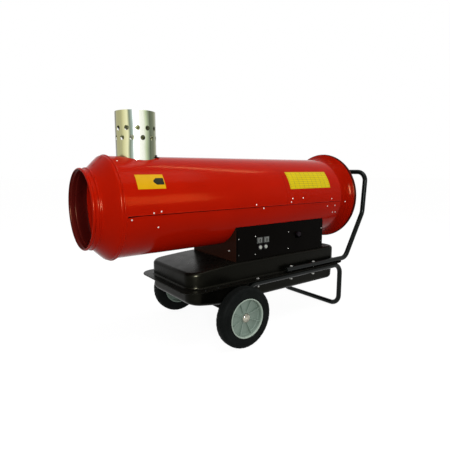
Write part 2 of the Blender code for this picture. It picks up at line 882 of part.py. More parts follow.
def make_drive():
    """Pump, coupling, motor with its bracket, and the fan."""
    pump_front = burner_housing_rear + gap
    pump_rear = pump_front + pump_length
    half = pump_side / 2
    solid("fuel_pump", box_mesh("fuel_pump", (pump_front, -half, body_height - half),
                                (pump_rear, half, body_height + half), pump_round), "aluminium")
    turned("pump_coupling", cylinder_profile(motor_front - pump_rear - 2 * gap, coupling_dia / 2), "rubber",
           pump_rear + gap, steps=20)
    motor_r = motor_dia / 2
    rear = motor_front + motor_length
    boss_end = rear + motor_boss
    rib = motor_length / (2 * motor_ribs + 1)
    profile = [(motor_front, 0.0), (motor_front, motor_r - motor_rib_depth)]
    for i in range(motor_ribs):
        start = motor_front + rib * (2 * i + 1)
        profile += [(start, motor_r - motor_rib_depth), (start, motor_r),
                    (start + rib, motor_r), (start + rib, motor_r - motor_rib_depth)]
    profile += [(rear, motor_r - motor_rib_depth), (rear, motor_boss_dia / 2), (boss_end, motor_boss_dia / 2),
                (boss_end, shaft_dia / 2), (shaft_rear, shaft_dia / 2), (shaft_rear, 0.0)]
    turned("fan_motor", profile, "black_satin", 0.0, steps=20)
    clamp_r = motor_r + gap
    station = motor_front + motor_length / 2
    ring = turned("motor_bracket", ring_profile(-clamp_width / 2, clamp_width / 2, clamp_r, clamp_r + clamp_sheet),
                  "plain_steel", station, closed=True, steps=20)
    arm = box_mesh("arm", (clamp_r + clamp_sheet / 2, -bracket_arm / 2, -clamp_width / 2 + clamp_sheet / 2),
                   (lower_inner - bracket_clearance, bracket_arm / 2, clamp_width / 2 - clamp_sheet / 2))
    arms = [moved(arm, turn=math.tau * (i + 0.5) / bracket_arms) for i in range(bracket_arms)]
    join(ring, solid("bracket_arms_union", joined(arms, "bracket_arms_union"), None,
                     (station, 0, body_height), (0, math.pi / 2, 0)))
    make_fan()


def make_fan():
    hub_r = fan_hub_dia / 2
    bore = shaft_dia / 2 + gap
    hub = turned("fan", [(0.0, bore), (0.0, hub_r - fan_hub_round), (fan_hub_round, hub_r), (fan_hub_length, hub_r),
                         (fan_hub_length, bore)], "aluminium", fan_front, closed=True, steps=20)
    inner, outer = hub_r - fan_hub_round, bell_r - casing_sheet - fan_tip_clearance
    work = bmesh.new()
    rings = []
    for i in range(fan_blade_stations + 1):
        share = i / fan_blade_stations
        radius = inner + (outer - inner) * share
        chord = fan_chord_root + (fan_chord_tip - fan_chord_root) * share
        pitch = fan_pitch_root + (fan_pitch_tip - fan_pitch_root) * share
        front, back = [], []
        for j in range(fan_chord_points + 1):
            along = (j / fan_chord_points - 1 / 2) * chord
            arch = fan_camber * chord * (1 - (2 * along / chord) ** 2)
            for side, row in ((arch - fan_blade_sheet / 2, front), (arch + fan_blade_sheet / 2, back)):
                axial = fan_hub_length / 2 + along * math.sin(pitch) + side * math.cos(pitch)
                turn = along * math.cos(pitch) - side * math.sin(pitch)
                row.append(work.verts.new((radius * math.cos(turn / radius), radius * math.sin(turn / radius), axial)))
        rings.append(front + back[::-1])
    for a, b in zip(rings, rings[1:]):
        for j in range(len(a)):
            k = (j + 1) % len(a)
            work.faces.new((a[j], a[k], b[k], b[j]))
    for end in (rings[0], rings[-1]):
        for j in range(fan_chord_points):
            work.faces.new((end[j], end[j + 1], end[-2 - j], end[-1 - j]))
    bmesh.ops.triangulate(work, faces=work.faces[:])
    blade = mesh_of(work, "blade")
    blades = [moved(blade, turn=math.tau * i / fan_blades) for i in range(fan_blades)]
    join(hub, solid("fan_blades_union", joined(blades, "fan_blades_union"), None,
                    (fan_front, 0, body_height), (0, math.pi / 2, 0)))


# Surfaces built up from rings of points, for the tank halves and the control box
def lofted(name, rings, split=None):
    """Skins a list of equal rings, and closes both ends. A split gives the two points where an end folds."""
    work = bmesh.new()
    rows = [[work.verts.new(point) for point in ring] for ring in rings]
    for a, b in zip(rows, rows[1:]):
        for j in range(len(a)):
            k = (j + 1) % len(a)
            work.faces.new((a[j], a[k], b[k], b[j]))
    for row in (rows[0][::-1], rows[-1]):
        if split:
            first, second = sorted(row.index(rows[0 if row[0] in rows[0] else -1][i]) for i in split)
            work.faces.new(row[first:second + 1])
            work.faces.new(row[second:] + row[:first + 1])
        else:
            work.faces.new(row)
    return mesh_of(work, name)


def tank_ring(outset, height, slope=0.0, length=tank_nose_length):
    """A rounded rectangle round the tank at a height, with the nose lowered or raised along a straight slope."""
    x0, x1 = tank_front - outset, tank_rear + outset
    y = tank_half + outset
    radius = tank_corner + min(0.0, outset) + (flange_corner - tank_corner) * max(0.0, outset) / flange_width
    loop = rounded_rectangle(x0, x1, -y, y, radius, corner_steps)
    quarter = len(loop) // 4
    nose = tank_front + length
    loop = loop[:quarter] + [(nose, y)] + loop[quarter:3 * quarter] + [(nose, -y)] + loop[3 * quarter:]
    return [(px, py, height + slope * max(0.0, (nose - px) / length)) for px, py in loop]


def pan_ring(outset, height, slope=0.0):
    return tank_ring(outset, height, slope, pan_nose_length)


def tank_split():
    quarter = corner_steps + 1
    return quarter, 3 * quarter + 1


def round_over(radius, steps=2):
    """(inset, rise) pairs of a rounded edge, from the wall to the flat."""
    angles = [math.pi / 2 * i / steps for i in range(steps + 1)]
    return [(radius * (1 - math.cos(a)), radius * math.sin(a)) for a in angles]


def make_tank():
    seam = tank_seam_height + gap / 2
    top = tank_top_height
    outer = [tank_ring(flange_width, seam), tank_ring(flange_width, seam + tank_sheet),
             tank_ring(flange_root, seam + tank_sheet), tank_ring(0.0, seam + tank_sheet + flange_root)]
    outer += [tank_ring(-inset, top - tank_top_round + rise, -tank_nose_drop)
              for inset, rise in round_over(tank_top_round)]
    inside = tank_top_round - tank_sheet
    inner = [tank_ring(-tank_sheet - inset, top - tank_top_round + rise, -tank_nose_drop)
             for inset, rise in round_over(inside, 1)]
    inner.reverse()
    inner.append(tank_ring(-tank_sheet, seam))
    upper = solid("tank_upper", lofted("tank_upper", inner + outer, tank_split()), "black_gloss")

    seam = tank_seam_height - gap / 2
    low = tank_bottom_height
    outer = [pan_ring(flange_width, seam), pan_ring(flange_width, seam - tank_sheet),
             pan_ring(0.0, seam - tank_sheet)]
    outer += [pan_ring(-tank_draft - inset, low + tank_bottom_round - rise, pan_nose_rise)
              for inset, rise in round_over(tank_bottom_round)]
    inside = tank_bottom_round - tank_sheet
    inner = [pan_ring(-tank_draft - tank_sheet - inset, low + tank_bottom_round - rise, pan_nose_rise)
             for inset, rise in round_over(inside, 1)]
    inner.reverse()
    inner.append(pan_ring(-tank_sheet, seam))
    lower = solid("tank_lower", lofted("tank_lower", inner + outer, tank_split()), "black_gloss")

    drills = [drill("filler_hole", filler_station, filler_side, filler_dia / 2 - filler_sheet + gap, top),
              drill("gauge_hole", filler_station, gauge_side, gauge_dia / 4 + gap, top)]
    drills += [drill("pipe_hole", pipe_station, side * pipe_spread / 2, pipe_dia / 2 + gap, top) for side in (-1, 1)]
    cut(upper, solid("tank_top_holes_cutter", joined(drills, "tank_top_holes_cutter")))
    cut(lower, solid("drain_hole_cutter", moved(drill("drain_hole", 0.0, 0.0, plug_bore_dia / 2 + gap, 0.0),
                                                (plug_station, 0.0, plug_level), pan_nose_tilt, "Y")))
    flange_holes = solid("flange_holes_cutter", joined(
        [drill("bolt_hole", x, side * tube_line, bolt_dia / 2 + gap, tank_seam_height)
         for x in (bolt_front, *bolt_stations) for side in (-1, 1)], "flange_holes_cutter"))
    cut(upper, flange_holes)
    cut(lower, flange_holes)
    make_tank_fittings()


def drill(name, x, y, radius, height, reach=overrun, sides=16):
    return moved(turned_mesh(name, cylinder_profile(2 * reach, radius, -reach), sides), (x, y, height))


def make_tank_fittings():
    top = tank_top_height + gap
    neck_r = filler_dia / 2
    neck = [(0.0, neck_r - filler_sheet), (0.0, filler_foot / 2), (filler_sheet, filler_foot / 2),
            (filler_sheet, neck_r), (filler_height, neck_r), (filler_height, neck_r - filler_sheet)]
    turned("filler_neck", neck, "black_satin", filler_station, filler_side, top, "Z", 16, closed=True)
    cap_r, bore = cap_dia / 2, neck_r + running
    foot = filler_sheet + cap_clearance
    roof = filler_height + cap_clearance
    cap = turned("fuel_cap", [
        (roof, 0.0), (roof, bore), (foot, bore), (foot, cap_r), (foot + cap_height - cap_round, cap_r),
        (foot + cap_height, cap_r - cap_round), (foot + cap_height, 0.0)], "black_plastic",
        filler_station, filler_side, top, "Z", 16)
    grip = box_mesh("grip", (cap_r - cap_grip, -cap_grip, foot), (cap_r + cap_grip, cap_grip, foot + cap_height - cap_round))
    grips = [moved(grip, turn=math.tau * (i + 0.5) / cap_grips) for i in range(cap_grips)]
    join(cap, solid("cap_grips_union", joined(grips, "cap_grips_union"), None, (filler_station, filler_side, top)))
    gauge_r = gauge_dia / 2
    turned("fuel_gauge", [(-gauge_stem, 0.0), (-gauge_stem, gauge_r / 2), (0.0, gauge_r / 2), (0.0, gauge_r),
                          (gauge_height - cap_round, gauge_r), (gauge_height, gauge_r - cap_round),
                          (gauge_height, 0.0)], "black_plastic", filler_station, gauge_side, top, "Z", 16)
    plug = turned_mesh("drain_plug", [
        (-plug_collar - plug_height, 0.0), (-plug_collar - plug_height, plug_across / 2),
        (-plug_collar, plug_across / 2), (-plug_collar, plug_collar_dia / 2), (0.0, plug_collar_dia / 2),
        (0.0, plug_bore_dia / 2), (plug_stem, plug_bore_dia / 2), (plug_stem, 0.0)], 12)
    solid("drain_plug", plug, "brass", (plug_station, 0.0, plug_level - gap), (0, pan_nose_tilt, 0))
    pump_bottom = body_height - pump_side / 2 - gap
    for name, side, dip in (("fuel_pipe_supply", -1, supply_dip), ("fuel_pipe_return", 1, return_dip)):
        start = tank_top_height - dip
        turned(name, cylinder_profile(pump_bottom - start, pipe_dia / 2, start), "copper", pipe_station,
               side * pipe_spread / 2, 0.0, "Z", 12)


# Control box, its panel and what they carry
def box_ring(outset, height, pinch=0.0):
    return [(x, y, height) for x, y in rounded_rectangle(
        box_front - outset, box_rear + outset, -box_half - outset + pinch, box_half + outset - pinch,
        box_corner + outset, 3)]


def make_box():
    floor = box_floor
    rings = [box_ring(-box_sheet, floor + box_sheet), box_ring(-box_sheet, panel_top_height),
             box_ring(-box_sheet, box_top_height, box_pinch), box_ring(0.0, box_top_height, box_pinch),
             box_ring(0.0, panel_top_height), box_ring(0.0, floor)]
    box = solid("control_box", lofted("control_box", rings), "black_satin")
    cut(box, turned("box_saddle_cutter", cylinder_profile(box_length + 2 * overrun, lower_r + gap), None,
                    box_front - overrun, steps=72))
    x0, x1 = panel_front + panel_lip, panel_rear - panel_lip
    z0, z1 = floor + panel_lip, panel_top_height - panel_lip
    window = box_mesh("window", (x0, -box_half - overrun, z0), (x1, -box_half + overrun, z1))
    slot = box_mesh("slot", (pipe_station - pipe_dia, -pipe_spread, floor - overrun),
                    (pipe_station + pipe_dia, pipe_spread, floor + overrun))
    gland = moved(turned_mesh("gland", cylinder_profile(2 * overrun, gland_dia / 2 - gland_sheet + gap, -overrun), 12),
                  turn=math.pi / 2, axis="Y")
    gland = moved(gland, (box_rear, gland_side, gland_level))
    cut(box, solid("box_openings_cutter", joined([window, slot, gland], "box_openings_cutter")))
    make_panel()
    make_box_contents()


def switch_x(number):
    return box_front + switch_station + switch_pitch * number


def button_x(number):
    return box_front + button_station + button_pitch * number


def rectangle(x, z, length, height):
    return [(x - length / 2, z - height / 2), (x + length / 2, z - height / 2),
            (x + length / 2, z + height / 2), (x - length / 2, z + height / 2)]


def make_panel():
    z0 = panel_foot_height
    loops = [[(panel_front, z0), (panel_rear, z0), (panel_rear, panel_top_height), (panel_front, panel_top_height)]]
    hole_length = switch_length - 2 * switch_bezel + 2 * gap
    hole_height = switch_height - 2 * switch_bezel + 2 * gap
    collar_r = button_dia / 2 + button_clearance + button_wall
    for number in range(2):
        loops.append(rectangle(switch_x(number), switch_level, hole_length, hole_height))
        circle = arc_points(collar_r + gap, 0, math.tau * (1 - 1 / 16), 15)
        loops.append([(x + button_x(number), z + button_level) for x, z in circle])
    loops.append(rectangle(box_front + socket_station, socket_level, socket_length - 2 * socket_lip,
                           socket_height - 2 * socket_lip))
    solid("control_panel", outline_mesh("control_panel", loops, box_sheet), "black_satin",
          (0, -(panel_inner + box_sheet / 2), 0), axis_frame("Y"))
    for number, side in enumerate(("left", "right")):
        make_switch(number, side)
        make_button(number, side, collar_r)
    make_socket()


def make_switch(number, side):
    x, z = switch_x(number), switch_level
    face = panel_outer + switch_rim
    a, b = switch_length / 2, switch_height / 2
    body = solid("switch_body_" + side, box_mesh("switch_body", (x - a, -face, z - b),
                                                 (x + a, -panel_outer - gap, z + b)), "black_plastic")
    a, b = a - switch_bezel, b - switch_bezel
    join(body, solid("switch_shank_" + side, box_mesh("shank", (x - a, -face + switch_rim / 2, z - b),
                                                      (x + a, -panel_outer + switch_depth, z + b))))
    a, b = a - switch_wall, b - switch_wall
    cut(body, solid("switch_pocket_" + side, box_mesh("pocket", (x - a, -face - overrun, z - b),
                                                      (x + a, -face + switch_pocket, z + b))))
    a, b = a - rocker_clearance, b - rocker_height_clearance
    front, back = rocker_pivot_depth + rocker_proud, rocker_back
    outline = [(-a, -front), (0.0, -front + rocker_dish), (a, -front), (a, back), (-a, back)]
    mesh = outline_mesh("rocker_" + side, [outline], 2 * b)
    solid("rocker_" + side, mesh, "switch_grey", (x, -face + rocker_pivot_depth, z), (0, 0, rocker_tilt))


def make_button(number, side, collar_r):
    x, z = button_x(number), button_level
    bore = button_dia / 2 + button_clearance
    start = -panel_outer - gap
    collar = [(-button_collar_depth, bore), (-button_collar_depth, collar_r), (gap, collar_r),
              (gap, collar_r + button_rim), (button_collar_proud, collar_r + button_rim),
              (button_collar_proud, bore)]
    turned("button_collar_" + side, collar, "black_plastic", x, -panel_outer, z, "Y", 16, closed=True)
    r = button_dia / 2
    turned("button_" + side, [(-button_collar_depth, 0.0), (-button_collar_depth, r), (button_proud - button_round, r),
                              (button_proud, r - button_round), (button_proud, 0.0)], "button_grey",
           x, -panel_outer, z, "Y", 16)


def make_socket():
    x, z = box_front + socket_station, socket_level
    a, b = socket_length / 2, socket_height / 2
    face = panel_outer + gap + socket_sheet
    socket = solid("thermostat_socket", box_mesh("socket", (x - a, -face, z - b), (x + a, -panel_outer - gap, z + b)),
                   "black_plastic")
    c, d = a - socket_lip - gap, b - socket_lip - gap
    ring_x, ring_z = x - socket_ring_offset, z + socket_ring_rise
    ring_r = socket_ring_dia / 2
    join(socket,
         solid("socket_shank", box_mesh("shank", (x - c, -face + socket_sheet / 2, z - d),
                                        (x + c, -panel_outer + switch_depth, z + d))),
         turned("socket_ring", cylinder_profile(socket_ring_proud + socket_sheet, ring_r, -socket_sheet), None,
                ring_x, -face, ring_z, "Y", 24))
    cut(socket,
        turned("socket_ring_bore", cylinder_profile(socket_depth + socket_ring_proud + overrun, ring_r - socket_ring_sheet,
                                                    -socket_depth), None, ring_x, -face, ring_z, "Y", 20),
        solid("socket_slot", box_mesh("slot", (x + a - 2 * socket_slot, -face - overrun, z - socket_slot_height / 2),
                                      (x + a - socket_slot, -face + socket_sheet / 2, z + socket_slot_height / 2))))


def make_box_contents():
    floor = box_floor + box_sheet + gap
    for name, size, station, side, finish in (
            ("ignition_transformer", transformer_size, transformer_station, transformer_side, "black_plastic"),
            ("flame_control", control_size, control_station, control_side, "white_plastic")):
        low = Vector((box_front + station, side, floor))
        solid(name, box_mesh(name, low, low + size, inner_round), finish)
    r = gland_dia / 2
    body = [(-2 * gland_flange, gland_bore), (-2 * gland_flange, r - gland_sheet), (gap, r - gland_sheet), (gap, r),
            (gland_flange + gap, r), (gland_flange + gap, r - gland_sheet), (gland_length, r - 2 * gland_sheet),
            (gland_length, gland_bore)]
    turned("cable_gland", body, "black_plastic", box_rear, gland_side, gland_level, "X", 12, closed=True)


# Tube frame, bolts and axle
def make_frame():
    y = tube_line
    near = [(wheel_station, -y, wheel_height), (leg_knee, -y, leg_level), (leg_rear, -y, leg_level),
            (leg_rear, -y, tube_r)]
    path = near + [(x, -b, z) for x, b, z in reversed(near)]
    legs = solid("leg_frame", tube_mesh("leg_frame", rounded_path(path, [tube_bend] * 6, 3), tube_r), "black_gloss")
    near = [(handle_front, -y, handle_level), (handle_foot, -y, handle_level), (handle_kink, -y, handle_kink_height),
            (handle_top, -y, handle_top_height)]
    path = near + [(x, -b, z) for x, b, z in reversed(near)]
    bends = [tube_bend, handle_kink_bend, tube_bend, tube_bend, handle_kink_bend, tube_bend]
    handle = solid("handle", tube_mesh("handle", rounded_path(path, bends, 3), tube_r), "black_gloss")
    cut(legs, turned("leg_mouth_cutter", cylinder_profile(2 * axle_shoulder, axle_dia / 2 + gap, -axle_shoulder), None,
                     wheel_station, z=wheel_height, axis="Y", steps=20))
    shank = bolt_dia / 2 + gap
    holes = [drill("hole", x, side * y, shank, leg_level, tube_dia) for x in (bolt_front, *bolt_stations)
             for side in (-1, 1)]
    cut(legs, solid("leg_bolt_holes", joined(holes, "leg_bolt_holes")))
    holes = [drill("hole", x, side * y, shank, handle_level, tube_dia) for x in bolt_stations for side in (-1, 1)]
    cut(handle, solid("handle_bolt_holes", joined(holes, "handle_bolt_holes")))
    low = leg_level - tube_r - gap
    for x, label, high in ((bolt_front, "front", flange_top), (bolt_stations[0], "middle", handle_level + tube_r),
                           (bolt_stations[1], "rear", handle_level + tube_r)):
        for side, name in ((-1, "near"), (1, "far")):
            top = high + gap
            profile = [(low - bolt_nut, 0.0), (low - bolt_nut, bolt_head_dia / 2), (low, bolt_head_dia / 2),
                       (low, bolt_dia / 2), (top, bolt_dia / 2), (top, bolt_head_dia / 2),
                       (top + bolt_head / 2, bolt_head_dia / 2), (top + bolt_head, bolt_dia / 2), (top + bolt_head, 0.0)]
            turned(f"bolt_{label}_{name}", profile, "zinc", x, side * y, 0.0, "Z", 6)
    end = wheel_line + hub_reach + axle_end
    stub = axle_stub_dia / 2
    turned("axle", [(-end, 0.0), (-end, stub), (-axle_shoulder, stub), (-axle_shoulder, axle_dia / 2),
                    (axle_shoulder, axle_dia / 2), (axle_shoulder, stub), (end, stub), (end, 0.0)],
           "black_satin", wheel_station, 0.0, wheel_height, "Y", 20)


# Wheels. Each is turned about its axle, from the inner side outwards.
def make_wheel(side, name):
    frame = (math.pi / 2, 0, 0) if side < 0 else (-math.pi / 2, 0, 0)
    spot = (wheel_station, side * wheel_line, wheel_height)
    half, seat = tyre_width / 2, tyre_seat_dia / 2
    tread, shoulder = tread_width / 2, wheel_r - tyre_shoulder
    bulge = half - tyre_foot
    tyre = [(-bulge, seat + gap), (-half, seat + tyre_side), (-half, shoulder), (-tread - tyre_foot, wheel_r - tyre_foot),
            (-tread, wheel_r)]
    tyre += [(-h, r) for h, r in reversed(tyre)]
    solid("tyre_" + name, turned_mesh("tyre_" + name, tyre, wheel_steps, closed=True), "rubber", spot, frame)
    w, lip, barrel = rim_width / 2, rim_lip_dia / 2, seat - rim_sheet
    bore, boss = axle_stub_dia / 2 + running, rim_boss_dia / 2
    web = w - rim_web_inset
    profile = [(-hub_reach, bore), (-hub_reach, boss), (web - rim_web, boss), (web - rim_web, barrel), (-w, barrel),
               (-w, lip), (-w + rim_lip, lip), (-w + rim_lip, seat), (w - rim_lip, seat), (w - rim_lip, lip),
               (w, lip), (w, barrel), (web, barrel), (web, boss), (hub_reach, boss), (hub_reach, bore)]
    rim = solid("rim_" + name, turned_mesh("rim_" + name, profile, wheel_steps, closed=True), "grey_plastic", spot, frame)
    rib = box_mesh("rib", (boss - rim_rib, -rim_rib / 2, web - rim_web / 2), (barrel + rim_sheet / 2, rim_rib / 2, web + rim_rib_height))
    ribs = [moved(rib, turn=math.tau * (i + 0.5) / rim_ribs) for i in range(rim_ribs)]
    join(rim, solid("rim_ribs_" + name, joined(ribs, "rim_ribs"), None, spot, frame))
    cap, grip = hub_cap_dia / 2, axle_stub_dia / 2 + gap
    start, inside = hub_reach + running, hub_reach + axle_end + gap
    dome = [(start + hub_cap_height, 0.0), (start + hub_cap_height * dome_shares[0], cap * dome_shares[1]),
            (start + hub_cap_height * dome_shares[2], cap), (start, cap), (start, grip), (inside, grip), (inside, 0.0)]
    solid("hub_cap_" + name, turned_mesh("hub_cap_" + name, dome, 16), "chrome", spot, frame)


make_casing()
make_outlet()
make_inlet()
make_flue()
make_exchanger()
make_burner()
make_drive()
make_tank()
make_box()
make_frame()
make_wheel(-1, "near")
make_wheel(1, "far")
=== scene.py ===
from math import asin, atan2, cos, pi, radians, sin, sqrt, tan, tau

import bmesh
import bpy
from mathutils import Matrix, Vector


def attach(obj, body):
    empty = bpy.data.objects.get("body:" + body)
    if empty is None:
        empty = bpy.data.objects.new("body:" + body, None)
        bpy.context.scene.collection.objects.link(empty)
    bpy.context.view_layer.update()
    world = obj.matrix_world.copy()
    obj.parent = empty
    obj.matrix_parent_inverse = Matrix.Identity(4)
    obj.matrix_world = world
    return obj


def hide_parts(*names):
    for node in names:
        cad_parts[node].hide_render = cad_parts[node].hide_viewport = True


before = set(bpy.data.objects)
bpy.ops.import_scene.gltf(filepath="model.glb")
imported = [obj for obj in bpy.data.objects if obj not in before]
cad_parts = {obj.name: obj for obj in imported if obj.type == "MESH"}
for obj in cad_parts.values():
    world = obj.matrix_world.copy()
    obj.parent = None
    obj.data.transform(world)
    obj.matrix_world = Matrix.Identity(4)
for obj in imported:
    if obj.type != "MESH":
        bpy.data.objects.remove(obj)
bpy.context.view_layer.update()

# Shared places, in metres. A station is measured along X from the rim of the outlet.
MID = 0.71025
AXIS = 0.5633
FLUE = 0.2213
ROOT = "heater"
SHARP = radians(38)


def st(station):
    """The place along X, in the part's frame, of a station."""
    return station - MID


# Node helpers and the makers of finishes
class Graph:
    """A small wrapper round one material's nodes."""

    def __init__(self, name):
        self.material = bpy.data.materials.new(name)
        self.material.use_nodes = True
        self.tree = self.material.node_tree
        self.shader = self.tree.nodes["Principled BSDF"]
        coordinates = self.node("ShaderNodeTexCoord")
        self.place = coordinates.outputs["Object"]

    def node(self, kind, **settings):
        made = self.tree.nodes.new(kind)
        for key, value in settings.items():
            setattr(made, key, value)
        return made

    def link(self, a, b):
        self.tree.links.new(a, b)

    def stretched(self, scale, rotation=(0, 0, 0)):
        mapping = self.node("ShaderNodeMapping")
        mapping.inputs["Scale"].default_value = scale
        mapping.inputs["Rotation"].default_value = rotation
        self.link(self.place, mapping.inputs["Vector"])
        return mapping.outputs["Vector"]

    def noise(self, scale, detail=3.0, rough=0.55, vector=None):
        made = self.node("ShaderNodeTexNoise")
        made.inputs["Scale"].default_value = scale
        made.inputs["Detail"].default_value = detail
        made.inputs["Roughness"].default_value = rough
        self.link(vector or self.place, made.inputs["Vector"])
        return made.outputs["Fac"]

    def cells(self, scale):
        made = self.node("ShaderNodeTexVoronoi")
        made.inputs["Scale"].default_value = scale
        self.link(self.place, made.inputs["Vector"])
        return made.outputs["Distance"]

    def span(self, value, low, high, out_low, out_high):
        made = self.node("ShaderNodeMapRange")
        limits = {"From Min": low, "From Max": high, "To Min": out_low, "To Max": out_high}
        for key, number in limits.items():
            made.inputs[key].default_value = number
        self.link(value, made.inputs["Value"])
        return made.outputs["Result"]

    def maths(self, operation, a, b):
        made = self.node("ShaderNodeMath", operation=operation)
        for socket, value in zip(made.inputs, (a, b)):
            if isinstance(value, (int, float)):
                socket.default_value = value
            else:
                self.link(value, socket)
        return made.outputs[0]

    def mix(self, factor, a, b):
        made = self.node("ShaderNodeMix", data_type="RGBA")
        self.link(factor, made.inputs[0])
        for socket, value in ((made.inputs[6], a), (made.inputs[7], b)):
            if isinstance(value, tuple):
                socket.default_value = (*value, 1.0)
            else:
                self.link(value, socket)
        return made.outputs[2]

    def axis(self, letter, normal=False):
        split = self.node("ShaderNodeSeparateXYZ")
        source = self.node("ShaderNodeNewGeometry").outputs["Normal"] if normal else self.place
        self.link(source, split.inputs[0])
        return split.outputs["XYZ".index(letter)]

    def bump(self, height, strength, distance):
        made = self.node("ShaderNodeBump")
        made.inputs["Strength"].default_value = strength
        made.inputs["Distance"].default_value = distance
        self.link(height, made.inputs["Height"])
        self.link(made.outputs[0], self.shader.inputs["Normal"])


def shade(colour, share):
    """A colour made darker or lighter by a share."""
    return tuple(max(0.0, min(1.0, c * share)) for c in colour)


def finish(name, colour, rough, metallic=0.0, specular=0.5, tint=None, tone=(9.0, 0.08), rough_span=0.06,
           grain=(700.0, 0.05), dust_and_top_light=0.0, dust_and_top_light_colour=(0.30, 0.27, 0.22), scuff=0.0,
           scuff_colour=(0.25, 0.24, 0.22), ahead=None):
    """A paint, plastic or metal with uneven tone and gloss, a fine grain, dust on what faces up (with a warm
    orange colour, as on the red enamel, a painted top light instead), and scuffs.

    tone and grain are a noise's scale and its strength. ahead is a colour of painted light for what faces the
    outlet's end.
    """
    g = Graph(name)
    cloud = g.noise(tone[0], 5.0, 0.6)
    darker, lighter = shade(colour, 1 - tone[1]), shade(colour, 1 + tone[1])
    base = g.mix(g.span(cloud, 0.3, 0.7, 0.0, 1.0), darker, lighter)
    if scuff:
        marks = g.noise(46.0, 6.0, 0.72, g.stretched((1.0, 1.0, 0.35), (0.4, 0.2, 0.9)))
        base = g.mix(g.span(marks, 0.72 - 0.05 * scuff, 0.80, 0.0, scuff), base, scuff_colour)
    # Dust on what faces up; with an orange colour, as the red enamel's, it is a painted warm light on the top
    # instead.
    if dust_and_top_light:
        up = g.span(g.axis("Z", normal=True), 0.35, 1.0, 0.0, dust_and_top_light)
        patch = g.span(g.noise(23.0, 6.0, 0.7), 0.35, 0.75, 0.25, 1.0)
        base = g.mix(g.maths("MULTIPLY", up, patch), base, dust_and_top_light_colour)
    # Faces toward the outlet's end take the ahead colour: painted light on that side.
    if ahead:
        base = g.mix(g.span(g.axis("X", normal=True), -0.95, -0.60, 1.0, 0.0), base, ahead)
    g.link(base, g.shader.inputs["Base Color"])
    smear = g.noise(tone[0] * 2.3, 4.0, 0.6)
    g.link(g.span(smear, 0.3, 0.7, max(0.02, rough - rough_span), min(1.0, rough + rough_span)),
           g.shader.inputs["Roughness"])
    g.bump(g.noise(grain[0], 3.0, 0.5), grain[1], 0.0004)
    g.shader.inputs["Metallic"].default_value = metallic
    g.shader.inputs["Specular IOR Level"].default_value = specular
    if tint:
        g.shader.inputs["Specular Tint"].default_value = (*tint, 1.0)
    return g.material


def rolled_metal(name, colour, rough):
    """Bright rolled sheet: long upright streaks, soft bands round the pipe, and a few handling marks."""
    g = Graph(name)
    streaks = g.noise(1.0, 5.0, 0.65, g.stretched((160.0, 160.0, 2.6)))
    bands = g.noise(1.0, 2.0, 0.5, g.stretched((17.0, 17.0, 0.4)))
    spangle = g.cells(140.0)
    base = g.mix(g.span(bands, 0.36, 0.64, 0.0, 1.0), shade(colour, 0.60), shade(colour, 1.05))
    base = g.mix(g.span(streaks, 0.42, 0.62, 0.0, 0.45), base, shade(colour, 0.86))
    base = g.mix(g.span(spangle, 0.0, 0.7, 0.0, 0.12), base, (0.50, 0.53, 0.42))
    g.link(base, g.shader.inputs["Base Color"])
    g.link(g.span(streaks, 0.3, 0.7, rough - 0.05, rough + 0.09), g.shader.inputs["Roughness"])
    g.bump(streaks, 0.05, 0.0003)
    g.shader.inputs["Metallic"].default_value = 1.0
    return g.material


def metal_with_painted_reflections(name, rough):
    """Bright sheet rolled to a pipe: painted reflections as soft upright bands of light and dark round it,
    and fine streaks.

    Each band is a share of the way round the pipe from the far side, and the colour of the painted reflection
    there.
    """
    bands = [(0.030, (0.37, 0.35, 0.16)), (0.066, (0.42, 0.40, 0.18)), (0.090, (0.70, 0.67, 0.34)),
             (0.119, (0.90, 0.88, 0.52)), (0.136, (0.12, 0.17, 0.11)), (0.152, (0.30, 0.38, 0.34)),
             (0.168, (0.84, 0.90, 0.88)), (0.190, (1.0, 1.0, 0.94)), (0.240, (0.96, 0.98, 0.84)),
             (0.260, (0.57, 0.65, 0.42)), (0.276, (0.33, 0.40, 0.24)), (0.292, (0.080, 0.105, 0.055)),
             (0.320, (0.075, 0.095, 0.048)), (0.345, (0.12, 0.14, 0.065)), (0.380, (0.28, 0.29, 0.17)),
             (0.435, (0.13, 0.13, 0.085)), (0.500, (0.52, 0.50, 0.28)), (0.560, (0.86, 0.86, 0.70)),
             (0.615, (0.20, 0.22, 0.13)), (0.680, (0.70, 0.70, 0.48)), (0.750, (0.94, 0.94, 0.86)),
             (0.805, (0.30, 0.31, 0.18)), (0.870, (0.10, 0.11, 0.065)), (0.935, (0.085, 0.085, 0.040))]
    g = Graph(name)
    across = g.maths("ADD", g.axis("X"), -st(FLUE))
    turn = g.maths("ARCTAN2", g.axis("Y"), across)
    wobble = g.span(g.noise(5.0, 2.0, 0.5), 0.3, 0.7, -0.010, 0.010)
    share = g.maths("ADD", g.span(turn, -pi, pi, 0.0, 1.0), wobble)
    ramp = g.node("ShaderNodeValToRGB")
    steps = ramp.color_ramp.elements
    steps[0].position, steps[0].color = bands[0][0], (*bands[0][1], 1)
    steps[1].position, steps[1].color = bands[-1][0], (*bands[-1][1], 1)
    for spot, colour in bands[1:-1]:
        steps.new(spot).color = (*colour, 1)
    g.link(share, ramp.inputs[0])
    streaks = g.noise(1.0, 5.0, 0.65, g.stretched((210.0, 210.0, 2.2)))
    base = g.mix(g.span(streaks, 0.36, 0.66, 0.0, 0.22), ramp.outputs[0], (0.50, 0.52, 0.42))
    spangle = g.cells(150.0)
    base = g.mix(g.span(spangle, 0.0, 0.7, 0.0, 0.05), base, (0.30, 0.33, 0.24))
    g.link(base, g.shader.inputs["Base Color"])
    g.link(g.span(streaks, 0.3, 0.7, rough - 0.04, rough + 0.08), g.shader.inputs["Roughness"])
    g.bump(streaks, 0.04, 0.0003)
    g.shader.inputs["Metallic"].default_value = 1.0
    return g.material


